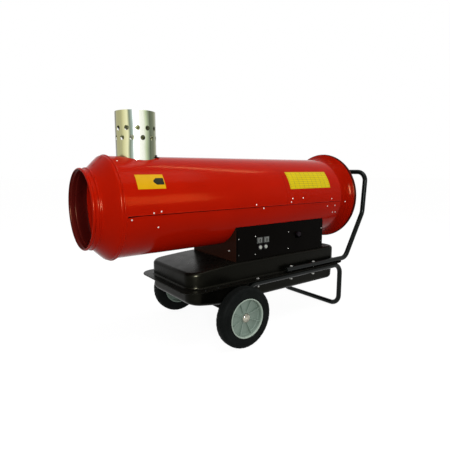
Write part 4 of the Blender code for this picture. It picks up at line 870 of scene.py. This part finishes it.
# Filler, cap, gauge and drain plug
DECK = 0.3208
FILLER = (st(1.171), 0.112, DECK)
GAUGE = (st(1.171), 0.020, DECK)
PLUG, PLUG_LEVEL = st(0.440), 0.1552

neck = [(0.0, 0.019), (0.0, 0.031), (0.003, 0.031), (0.003, 0.022), (0.016, 0.022), (0.016, 0.019)]
turned("filler_pipe", soften(neck, 0.0007), "satin", FILLER, "Z", 48, replaces=["filler_neck"],
       slot="black_satin")
cap = bmesh.new()
outline = [(0.0168, 0.0), (0.0168, 0.0224), (0.0038, 0.0224), (0.0038, 0.0286), (0.0045, 0.029),
           (0.0190, 0.029), (0.0208, 0.0283), (0.0222, 0.0265), (0.0228, 0.0240), (0.0228, 0.0150),
           (0.0216, 0.0140), (0.0216, 0.0)]
revolve(cap, outline, 64, turn_frame("Z", FILLER), False)
for a in around(24, 0.5):
    block(cap, (0.0280, -0.0012, 0.0050), (0.0304, 0.0012, 0.0192), 0.0006, 2, placed(FILLER, a))
emit("fuel_cap_knob", cap, "plastic", body="fuel_cap", replaces=["fuel_cap"], slot="black_plastic")

outline = [(-0.012, 0.0), (-0.012, 0.010), (0.0, 0.010), (0.0, 0.0198), (0.0004, 0.020), (0.0085, 0.020),
           (0.0096, 0.0194), (0.0100, 0.0185), (0.0100, 0.0168), (0.0078, 0.0160), (0.0078, 0.0)]
turned("gauge_body", outline, "plastic", GAUGE, "Z", 64, False, replaces=["fuel_gauge"],
       slot="black_plastic")
turned("gauge_face", [(0.0080, 0.0), (0.0080, 0.0155), (0.0083, 0.0157), (0.0085, 0.0155), (0.0085, 0.0)],
       "white", GAUGE, "Z", 48, False, slot="white_plastic")
hand = bmesh.new()
for k in range(9):
    tick = placed(GAUGE, radians(30 + 15 * k))
    block(hand, (0.0110 if k % 4 else 0.0098, -0.0003, 0.0085), (0.0140, 0.0003, 0.0087), 0.00005, 1, tick)
needle = placed(GAUGE, radians(110))
block(hand, (-0.0030, -0.0006, 0.0088), (0.0120, 0.0006, 0.0092), 0.0002, 1, needle)
emit("gauge_hand", hand, "ink", slot="black_plastic")

plug = bmesh.new()
plug_frame = placed((PLUG, 0, PLUG_LEVEL + PAN_RISE * (TANK_FRONT + PAN_NOSE - PLUG) / PAN_NOSE),
                    atan2(PAN_RISE, PAN_NOSE), "Y")
collar = [(-0.002, 0.0), (-0.002, 0.014), (0.0, 0.014), (0.0, 0.007), (0.006, 0.007), (0.006, 0.0)]
revolve(plug, soften(collar, 0.0005, False), 40, plug_frame, False)
head = [(-0.010, 0.0), (-0.010, 0.0082), (-0.0094, 0.0095), (-0.002, 0.0095), (-0.002, 0.0)]
revolve(plug, head, 6, plug_frame, False)
emit("drain_bolt", plug, "brass", replaces=["drain_plug"], slot="brass")

# Control box
BOX_FRONT, BOX_REAR, BOX_SIDE = st(0.575), st(1.122), 0.1662
BOX_SHEET, PINCH = 0.0015, 0.0042
GLAND = (BOX_REAR, 0.090, 0.356)


def box_ring(outset, height, pinch):
    """A rounded rectangle round the box, its sides drawn in by the pinch."""
    rear, front = rounded_corners(BOX_FRONT - outset, BOX_REAR + outset, BOX_SIDE + outset - pinch,
                                  0.005 + outset, 6)
    return [(x, y, height) for x, y in with_near_half(rear + front)]


levels = [(-BOX_SHEET, 0.3223, 0.0), (-BOX_SHEET, 0.453, 0.0), (-BOX_SHEET, 0.4665, PINCH),
          (-0.0012, 0.4670, PINCH), (-0.0003, 0.4670, PINCH), (0.0, 0.4666, PINCH), (0.0, 0.4535, 0.0002),
          (0.0, 0.4525, 0.0), (0.0, 0.3212, 0.0), (-0.0004, 0.3208, 0.0)]
window = ((st(0.8485), 0.38775), (0.2515, 0.05125), (-0.180, -0.155))
lofted("box_shell", [[box_ring(*level) for level in levels]], "box", replaces=["control_box"],
       slot="black_satin", cuts=[drill(BOX_FRONT - 0.02, BOX_REAR + 0.02, 0.1885, 144, casing_frame),
                                 notch(*window), drill(-0.012, 0.012, 0.0093, 32, turn_frame("X", GLAND))])

# Front panel
FACE = -0.168
SWITCHES = (("left", st(0.703)), ("right", st(0.742)))
BUTTONS = (("left", st(0.704)), ("right", st(0.7356)))
SWITCH_Z, SWITCH_HOLE = 0.401, (0.01405, 0.0113)
BUTTON_Z, BUTTON_HOLE = 0.371, 0.0111
SOCKET, SOCKET_Z, SOCKET_HOLE, BORE_Z = st(0.9435), 0.402, (0.019, 0.014), 0.4065

loops = [rounded_loop(st(0.8485), 0.38765, 0.2655, 0.06535, 0.002, 4)]
loops += [rounded_loop(x, SWITCH_Z, *SWITCH_HOLE, 0.001, 3) for side, x in SWITCHES]
loops += [[(x + BUTTON_HOLE * cos(a), BUTTON_Z + BUTTON_HOLE * sin(a)) for a in around(40)]
          for side, x in BUTTONS]
loops.append(rounded_loop(SOCKET, SOCKET_Z, *SOCKET_HOLE, 0.001, 3))
plate("box_panel", loops, FACE, -0.1665, "satin", replaces=["control_panel"], slot="black_satin")


# Rocker switches
def paddle_outline(wide):
    """The (across, outward) outline of a rocker, its face a shallow arch."""
    foot, crown = 0.0030, -0.0089
    line = [(-wide, foot), (-wide, crown + 0.0006), (-wide + 0.0006, crown)]
    for i in range(1, 12):
        u = -wide + 0.0006 + (2 * wide - 0.0012) * i / 12
        line.append((u, crown + 0.0012 * (1 - (u / wide) ** 2)))
    return line + [(wide - 0.0006, crown), (wide, crown + 0.0006), (wide, foot)]


for side, x in SWITCHES:
    spot = (x, SWITCH_Z)
    work = bmesh.new()
    pad(work, spot, (0.01575, 0.013), (FACE - 0.0015, FACE - 0.0003), 0.0005, 2)
    pad(work, spot, (0.01375, 0.011), (FACE - 0.0006, FACE + 0.024), 0.0003, 1)
    emit("switch_frame_" + side, work, "bezel", replaces=["switch_body_" + side], slot="black_plastic",
         cuts=[notch(spot, (0.01255, 0.0098), (FACE - 0.012, FACE + 0.011), 0.0004, 1)])
    tilt = placed((x, FACE + 0.0050, SWITCH_Z), radians(7))
    wide, tall = 0.01115, 0.0092
    rows = []
    work = bmesh.new()
    for z, trim in ((-tall, 0.0005), (-tall + 0.0005, 0.0), (tall - 0.0005, 0.0), (tall, 0.0005)):
        rows.append([work.verts.new(tilt @ Vector((u * (1 - trim / wide), v + (trim if v < 0 else 0), z)))
                     for u, v in paddle_outline(wide)])
    bridge(work, rows)
    work.faces.new(rows[0])
    work.faces.new(rows[-1])
    for u in (-0.0080, 0.0080):
        pad(work, (u, 0), (0.0004, 0.0060), (-0.0088, -0.0080), 0.0001, 1, tilt)
    emit("rocker_paddle_" + side, work, "switch", body="rocker_" + side, replaces=["rocker_" + side],
         slot="switch_grey")
    work = bmesh.new()
    for u in (-0.0038, 0.0, 0.0038):
        pad(work, (u, 0), (0.0006, 0.0072), (-0.0090, -0.0074), 0.0002, 1, tilt)
    emit("rocker_marks_" + side, work, "ink", body="rocker_" + side, slot="switch_grey")

# Round buttons in their collars
ring = [(-0.012, 0.0082), (-0.012, 0.0108), (0.0003, 0.0108), (0.0003, 0.013), (0.004, 0.013),
        (0.004, 0.0082)]
head = [(-0.012, 0.0), (-0.012, 0.0078), (0.0066, 0.0078), (0.0073, 0.0076), (0.0078, 0.0070),
        (0.0080, 0.0062), (0.0077, 0.0042), (0.0074, 0.0)]
for side, x in BUTTONS:
    turned("button_ring_" + side, soften(ring, 0.0006), "plastic", (x, FACE, BUTTON_Z), "-Y", 48,
           replaces=["button_collar_" + side], slot="black_plastic")
    turned("button_head_" + side, head, "button", (x, FACE, BUTTON_Z), "-Y", 48, False,
           body="button_" + side, replaces=["button_" + side], slot="button_grey")

# Thermostat socket
bore_frame = turn_frame("-Y", (SOCKET - 0.006, FACE - 0.0033, BORE_Z))
work = bmesh.new()
pad(work, (SOCKET, SOCKET_Z), (0.023, 0.018), (FACE - 0.0033, FACE - 0.0003), 0.0012, 3)
pad(work, (SOCKET, SOCKET_Z), (0.0185, 0.0135), (FACE - 0.0015, FACE + 0.024), 0.0004, 1)
revolve(work, rod(-0.002, 0.010, 0.013, 0.0006), 48, bore_frame, False)
emit("thermostat_plate", work, "socket", replaces=["thermostat_socket"], slot="black_plastic",
     cuts=[drill(-0.006, 0.020, 0.011, 40, bore_frame),
           notch((SOCKET + 0.017, SOCKET_Z), (0.002, 0.010), (FACE - 0.014, FACE - 0.0018))])
pins = bmesh.new()
for a in around(3, 0.75):
    pin = (SOCKET - 0.006 + 0.0055 * cos(a), FACE - 0.0033, BORE_Z + 0.0055 * sin(a))
    revolve(pins, rod(-0.006, 0.004, 0.0014, 0.0005), 16, turn_frame("-Y", pin), False)
emit("socket_pins", pins, "brass", slot="brass")

# Cable gland
gland = bmesh.new()
outline = [(-0.012, 0.0045), (-0.012, 0.009), (0.0003, 0.009), (0.0003, 0.0115), (0.0006, 0.012),
           (0.0058, 0.012), (0.0063, 0.0115), (0.0063, 0.009), (0.0075, 0.009), (0.0080, 0.0085),
           (0.0195, 0.0068), (0.0215, 0.0058), (0.0220, 0.0050), (0.0220, 0.0045)]
revolve(gland, outline, 36, turn_frame("X", GLAND))
for a in around(12):
    block(gland, (0.0085, 0.0070, -0.0006), (0.0180, 0.0092, 0.0006), 0.0003, 1, placed(GLAND, a, "X"))
emit("gland_body", gland, "plastic", replaces=["cable_gland"], slot="black_plastic")

# Frame tubes and axle
TUBE, TUBE_Y, LEG_Z, HANDLE_Z = 0.012, 0.200, 0.22605, 0.2550
AXLE, AXLE_Z, WHEEL_Y = st(0.5375), 0.124, 0.265
SHOULDER, AXLE_END = 0.2165, 0.2845

half = [(AXLE, TUBE_Y, AXLE_Z), (st(0.636), TUBE_Y, LEG_Z), (st(1.225), TUBE_Y, LEG_Z),
        (st(1.225), TUBE_Y, TUBE)]
work = bmesh.new()
tube(work, rounded_path([(x, -y, z) for x, y, z in half] + half[::-1], [0.048] * 6), TUBE)
emit("frame_legs", work, "tube", replaces=["leg_frame"], slot="black_gloss",
     cuts=[drill(-SHOULDER, SHOULDER, 0.0128, 48, turn_frame("Y", (AXLE, 0, AXLE_Z)))])
half = [(st(0.836), TUBE_Y, HANDLE_Z), (st(1.264), TUBE_Y, HANDLE_Z), (st(1.394), TUBE_Y, 0.4806),
        (st(1.4085), TUBE_Y, 0.691)]
work = bmesh.new()
tube(work, rounded_path([(x, -y, z) for x, y, z in half] + half[::-1], [0.048, 0.060, 0.048] * 2), TUBE)
emit("frame_handle", work, "tube", replaces=["handle"], slot="black_gloss")
bar = [(-AXLE_END, 0.0), (-AXLE_END, 0.010), (-SHOULDER, 0.010), (-SHOULDER, 0.0125), (SHOULDER, 0.0125),
       (SHOULDER, 0.010), (AXLE_END, 0.010), (AXLE_END, 0.0)]
turned("axle_bar", soften(bar, 0.0007, False), "satin", (AXLE, 0, AXLE_Z), "Y", 40, False,
       replaces=["axle"], slot="black_satin")


# Wheels: tyre, rim and hub cap
def tyre(name, matrix):
    """A ribbed tread with fine cuts across its shoulders."""
    half = [(0.0, 0.1240), (0.0030, 0.1240), (0.0034, 0.1228), (0.0048, 0.1228), (0.0052, 0.1239),
            (0.0098, 0.1237), (0.0102, 0.1225), (0.0116, 0.1224), (0.0120, 0.1233), (0.0165, 0.1224),
            (0.0195, 0.1208), (0.0220, 0.1178), (0.0238, 0.1138), (0.0245, 0.1095), (0.0243, 0.1060),
            (0.0238, 0.1052), (0.0236, 0.1010), (0.0242, 0.1002), (0.0245, 0.0930), (0.0243, 0.0862),
            (0.0236, 0.0845), (0.0232, 0.0822), (0.0222, 0.0802), (0.0205, 0.0783)]
    work = bmesh.new()
    rows = []
    for along, radius in [(-w, r) for w, r in reversed(half)] + half[1:]:
        shoulder = abs(along) > 0.0119 and radius > 0.1170
        row = []
        for i, a in enumerate(around(144)):
            r = radius - (0.0009 if shoulder and i % 4 == 0 else 0.0)
            row.append(work.verts.new(matrix @ Vector((r * cos(a), r * sin(a), along))))
        rows.append(row)
    bridge(work, rows + rows[:1])
    emit("tyre_tread_" + name, work, "tyre", body="wheel_" + name, replaces=["tyre_" + name], slot="tyre")


def rim(name, matrix, side):
    """A rim with eight ribs on its web, the outermost faces given a paler copy of its plastic as painted
    light.
    """
    w, web, thick = 0.026, 0.0050, 0.0021
    profile = [(-0.014, 0.0104), (-0.014, 0.020), (web - 0.005, 0.020), (web - 0.005, 0.074), (-w, 0.074),
               (-w, 0.080), (-w + 0.0025, 0.080), (-w + 0.0025, 0.078), (w - 0.0025, 0.078),
               (w - 0.0025, 0.080), (w, 0.080), (w, 0.0765), (w - 0.0018, 0.0748), (w - 0.0060, 0.0740),
               (web + 0.003, 0.0725), (web, 0.0695), (web, 0.0245), (web + 0.0012, 0.0215),
               (web + 0.0035, 0.0200), (0.014, 0.0190), (0.014, 0.0104)]
    work = bmesh.new()
    revolve(work, soften(profile, 0.0009), 96, matrix)
    for a in around(8, 0.5):
        turn = matrix @ Matrix.Rotation(a, 4, "Z")
        rings = []
        for share in (0.0, 0.15, 0.4, 0.6, 0.85, 1.0):
            radius = 0.0175 + 0.0580 * share
            top = web + (0.0045 if share in (0.0, 1.0) else 0.0040) + 0.0088 * share ** 1.3
            section = [(-1.25, web - 0.002), (-1, top - 0.0008), (-0.55, top), (0.55, top), (1, top - 0.0008),
                       (1.25, web - 0.002)]
            rings.append([turn @ Vector((radius, thick * across, z)) for across, z in section])
        loft(work, rings)
    casting = emit("rim_casting_" + name, work, "rim", body="wheel_" + name, replaces=["rim_" + name],
                   slot="grey_plastic")
    # The outermost faces of the lip take the paler plastic: painted light where the lip faces out.
    outer = max(side * face.center.y for face in casting.data.polygons)
    repaint(casting, "rim_painted_lit_lip", lambda face: side * face.center.y > outer - 0.0042)


def hub(name, matrix):
    """A domed cap over the axle's end."""
    foot, bore, ceiling, crown = 0.0144, 0.0103, 0.0198, 0.0249
    dome = [(foot, bore), (foot, 0.0182), (foot + 0.0004, 0.0186), (foot + 0.0016, 0.0186)]
    dome += [(foot + 0.0020 + 0.0085 * sin(a), 0.0180 * cos(a))
             for a in angles(pi / 2, 12)[:-1]]
    work = bmesh.new()
    revolve(work, dome + [(crown, 0.0)], 56, matrix, False)
    revolve(work, [(foot, bore), (ceiling, bore), (ceiling, 0.0)], 56, matrix, False)
    bmesh.ops.remove_doubles(work, verts=work.verts, dist=0.00001)
    emit("hub_dome_" + name, work, "chrome", replaces=["hub_cap_" + name], slot="chrome")


for side, name, axis in ((-1, "near", "-Y"), (1, "far", "Y")):
    wheel_frame = turn_frame(axis, (AXLE, side * WHEEL_Y, AXLE_Z))
    tyre(name, wheel_frame)
    rim(name, wheel_frame, side)
    hub(name, wheel_frame)


# Screws of the casing, the panel and the flange, each kind by the radius and height of its head
SHELL_SCREW, BELL_SCREW, FLANGE_SCREW = (0.0026, 0.0017), (0.0030, 0.0018), (0.0040, 0.0022)
PANEL_SCREW, DARK_SCREW, BOX_SCREW = (0.0020, 0.0013), (0.0024, 0.0015), (0.0046, 0.0026)


def screw(work, spot, facing, size, turn=0.0):
    """A domed screw head with a cross recess, seen from the way it faces."""
    matrix = Vector(facing).normalized().to_track_quat("Z", "Y").to_matrix().to_4x4()
    matrix = matrix @ Matrix.Rotation(turn, 4, "Z")
    matrix.translation = Vector(spot)
    r, h = size
    revolve(work, [(-0.0012, 0.0), (-0.0012, r), (0.0, r * 1.12), (0.0004, r * 1.14), (0.0007, r),
                   (h * 0.62, r * 0.86), (h * 0.90, r * 0.60), (h, r * 0.42), (h * 0.98, r * 0.30, 0.30),
                   (h * 0.42, r * 0.20, 0.34), (h * 0.34, 0.0)], 24, matrix, False)


def casing_pair(work, station, degrees, size, turn=0.0, out=UPPER, lean=0.0):
    """One screw on each side of the casing, at an angle over the horizontal."""
    a = radians(degrees)
    for side in (-1, 1):
        spot = (st(station), side * out * cos(a), AXIS + out * sin(a))
        screw(work, spot, (lean, side * cos(a), sin(a)), size, turn)


shell_screws = [(0.196, -2.6), (0.225, -1.5), (0.116, -8.3), (0.217, -19.0), (0.664, -1.4), (0.709, -7.0),
                (0.880, 3.5), (0.871, -1.1), (0.948, 3.4), (1.152, -0.2), (1.128, -11.0), (1.185, -10.9),
                (1.180, -21.8), (1.202, -22.0)]
work = bmesh.new()
for number, (station, degrees) in enumerate(shell_screws):
    casing_pair(work, station, degrees, SHELL_SCREW, number * 0.7, UPPER if degrees > -3.8 else LOWER)
casing_pair(work, 1.258, -6, BELL_SCREW, out=BAND, lean=-0.16)
casing_pair(work, 0.112, 64, SHELL_SCREW)
emit("casing_screws", work, "zinc", slot="zinc")

work = bmesh.new()
for x, z in ((0.588, 0.417), (0.6795, 0.420), (0.6795, 0.342), (0.879, 0.421), (0.879, 0.344),
             (1.107, 0.419)):
    screw(work, (st(x), FACE, z), (0, -1, 0), PANEL_SCREW, x * 9)
for x, y, z, facing in ((BOX_FRONT, -0.117, 0.362, -1), (BOX_REAR, -0.117, 0.430, 1),
                        (BOX_FRONT, 0.117, 0.362, -1), (BOX_REAR, 0.067, 0.430, 1)):
    screw(work, (x, y, z), (facing, 0, 0), BOX_SCREW, 0.5)
emit("panel_screws", work, "zinc", slot="zinc")
work = bmesh.new()
for x, z in ((0.588, 0.349), (1.107, 0.3545)):
    screw(work, (st(x), FACE, z), (0, -1, 0), DARK_SCREW, x * 9)
emit("panel_dark_screws", work, "bezel", slot="black_satin")

work = bmesh.new()
for x in (0.396, 0.454):
    for y in (-0.2045, 0.2045):
        screw(work, (st(x), y, TOP_SEAM + 0.00205), (0, 0, 1), FLANGE_SCREW)
emit("flange_screws", work, "tube", slot="black_gloss")

# Labels: a small one with an airflow arrow, and a long one with a ruling
LABEL, PRINT = UPPER + 0.00035, UPPER + 0.00046
LEFT, RIGHT, LOW, HIGH = 0.876, 1.142, 17.3, 41.8
ARROW, ARROW_NECK, SHAFT = 31.7, 0.2215, 4.0


def patch(x0, x1, low, high, outer=PRINT, inner=UPPER + 0.00016, across=14):
    """A thin sheet on the near side between two stations and two angles over the horizontal, in degrees."""
    first, last = pi - radians(low), pi - radians(high)
    return [sheet_section(x, first, last, inner, outer, across) for x in (x0, x1)]


lofted("label_front", [patch(0.147, 0.253, 23.0, 40.4, LABEL, UPPER - 0.0002)], "label_a")
head = []
for x, reach in ((0.2095, 0.05), (0.2120, 1.6), (ARROW_NECK, SHAFT)):
    head.append(patch(x, x, ARROW - reach, ARROW + reach, across=6)[0])
lofted("label_front_arrow", [patch(ARROW_NECK, 0.2500, ARROW - SHAFT, ARROW + SHAFT), head], "ink")
lofted("label_rear", [patch(0.872, 1.146, 16.5, 42.6, LABEL, UPPER - 0.0002)], "label_b")
ruling = [patch(LEFT, RIGHT, LOW, LOW + 0.3), patch(LEFT, RIGHT, HIGH - 0.3, HIGH),
          patch(LEFT, LEFT + 0.0015, LOW, HIGH), patch(RIGHT - 0.0015, RIGHT, LOW, HIGH)]
for k in range(1, 8):
    level = LOW + (HIGH - LOW) * k / 8
    ruling.append(patch(LEFT, RIGHT, level, level + 0.35, across=2))
for k in range(1, 9):
    x = LEFT + (RIGHT - LEFT) * k / 9
    ruling.append(patch(x, x + 0.0013, LOW, HIGH))
lofted("label_rear_ruling", ruling, "ruling")

# Finishes of the solids that stay as they are
kept = {
    "steel": ["combustion_chamber", "exchanger_support_front", "exchanger_support_rear", "burner_tube",
              "baffle_disc", "motor_bracket"],
    "cast": ["burner_housing", "fuel_pump"],
    "brass": ["fuel_nozzle"],
    "ceramic": ["ignition_electrodes"],
    "rubber": ["pump_coupling"],
    "copper": ["fuel_pipe_supply", "fuel_pipe_return"],
    "white": ["flame_control"],
    "plastic": ["ignition_transformer"],
    "satin": ["fan_motor"],
    "bolt": [f"bolt_{place}_{side}" for place in ("front", "middle", "rear") for side in ("near", "far")],
}
for key, names in kept.items():
    for name in names:
        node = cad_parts[name]
        node.data.materials.clear()
        node.data.materials.append(look[key])


# Floor and world, each one shade to rays that are seen and another to the light they give
def plain_shader(tree, kind, colour, strength=None):
    """A shader of one colour."""
    made = tree.nodes.new(kind)
    made.inputs["Color"].default_value = (*colour, 1)
    if strength is not None:
        made.inputs["Strength"].default_value = strength
    return made.outputs[0]


def choose(tree, output, hidden, shown):
    """Gives one shader to rays from the camera, a reflection or glass, and another to the rest."""
    rays = tree.nodes.new("ShaderNodeLightPath").outputs
    seen = rays["Is Camera Ray"]
    for name in ("Is Glossy Ray", "Is Transmission Ray"):
        either = tree.nodes.new("ShaderNodeMath")
        either.operation = "MAXIMUM"
        tree.links.new(seen, either.inputs[0])
        tree.links.new(rays[name], either.inputs[1])
        seen = either.outputs[0]
    choice = tree.nodes.new("ShaderNodeMixShader")
    for source, socket in zip((seen, hidden, shown), choice.inputs):
        tree.links.new(source, socket)
    tree.links.new(choice.outputs[0], tree.nodes.new(output).inputs["Surface"])


WHITE = (1, 1, 1)
ground = bpy.data.materials.new("pale_floor")
ground.use_nodes = True
tree = ground.node_tree
tree.nodes.clear()
glow = tree.nodes.new("ShaderNodeAddShader")
tree.links.new(plain_shader(tree, "ShaderNodeBsdfDiffuse", (0.13, 0.13, 0.13)), glow.inputs[0])
tree.links.new(plain_shader(tree, "ShaderNodeEmission", WHITE, 0.94), glow.inputs[1])
choose(tree, "ShaderNodeOutputMaterial", plain_shader(tree, "ShaderNodeBsdfDiffuse", (0.30, 0.29, 0.27)),
       glow.outputs[0])
sheet = bpy.data.meshes.new("floor")
sheet.from_pydata([(-30, -30, 0), (30, -30, 0), (30, 30, 0), (-30, 30, 0)], [], [(0, 1, 2, 3)])
sheet.materials.append(ground)
floor = bpy.data.objects.new("floor", sheet)
floor.location.z = -0.0005
bpy.context.scene.collection.objects.link(floor)

world = bpy.data.worlds.new("studio")
bpy.context.scene.world = world
world.use_nodes = True
tree = world.node_tree
tree.nodes.clear()
choose(tree, "ShaderNodeOutputWorld", plain_shader(tree, "ShaderNodeBackground", (0.98, 0.97, 0.95), 0.42),
       plain_shader(tree, "ShaderNodeBackground", WHITE, 1.0))


# Lamps
def lamp(name, spot, target, power, size, colour=WHITE, lights=True, shows=True, along=None, only=()):
    """A studio panel. It can light surfaces, show in their gloss, or both, on all pieces or only on some."""
    data = bpy.data.lights.new(name, "AREA")
    data.shape = "RECTANGLE"
    data.size, data.size_y = size
    data.energy = power
    data.color = colour
    item = bpy.data.objects.new(name, data)
    item.location = spot
    ahead = (Vector(target) - Vector(spot)).normalized()
    item.rotation_euler = ahead.to_track_quat("-Z", "Y").to_euler()
    if along:
        across = ahead.cross(Vector(along)).normalized()
        item.rotation_euler = Matrix((across.cross(ahead), across, -ahead)).transposed().to_euler()
    item.visible_diffuse = lights
    item.visible_glossy = shows
    bpy.context.scene.collection.objects.link(item)
    if only:
        group = bpy.data.collections.new(name + "_only")
        for piece in only:
            group.objects.link(piece)
        item.light_linking.receiver_collection = group


reds = [item for item in bpy.data.objects if item.type == "MESH" and item.data.materials
        and item.data.materials[0] in (look["red"], look["red_bell_shaded"])]
tank = [bpy.data.objects[name] for name in ("tank_top_pressing", "tank_bottom_pressing")]
lamp("key", (-1.7, -2.9, 1.15), (0, 0, 0.5), 50, (0.30, 0.95))
lamp("top", (0.1, -0.9, 3.0), (0, 0, 0.5), 34, (2.4, 1.4))
lamp("fill", (2.6, -1.9, 1.5), (0.2, 0, 0.5), 12, (0.8, 1.2), shows=False)
lamp("sheen_low", (0.80, -2.75, 1.40), (-0.35, -0.19, 0.59), 90, (1.2, 0.85), (1, 0.56, 0.20), lights=False,
     only=reds)
lamp("sheen_high", (1.40, 0.18, 3.14), (-0.25, -0.12, 0.70), 34, (1.6, 0.30), (1, 0.62, 0.28), lights=False,
     along=(0.71, -0.68, -0.22), only=reds)
lamp("glint", (-1.73, -2.36, 1.18), (-0.68, -0.15, 0.59), 560, (0.5, 1.1), lights=False, only=reds + tank)
lamp("ridge", (-0.32, -2.45, 1.24), (0.586, -0.216, 0.60), 800, (0.16, 0.80), (1, 0.86, 0.78), lights=False,
     only=[bell])

# Camera, fitted to the photograph
camera = bpy.data.objects.new("camera", bpy.data.cameras.new("camera"))
bpy.context.scene.collection.objects.link(camera)
camera.data.sensor_width = 36.0
camera.data.lens = 30.97
camera.data.clip_start, camera.data.clip_end = 0.05, 100.0
camera.location = (-1.10865, -1.4033, 0.7048)
camera.rotation_euler = Vector((0.58918, 0.79537, -0.14231)).to_track_quat("-Z", "Y").to_euler()
bpy.context.scene.camera = camera
bpy.context.scene.view_settings.view_transform = "Standard"
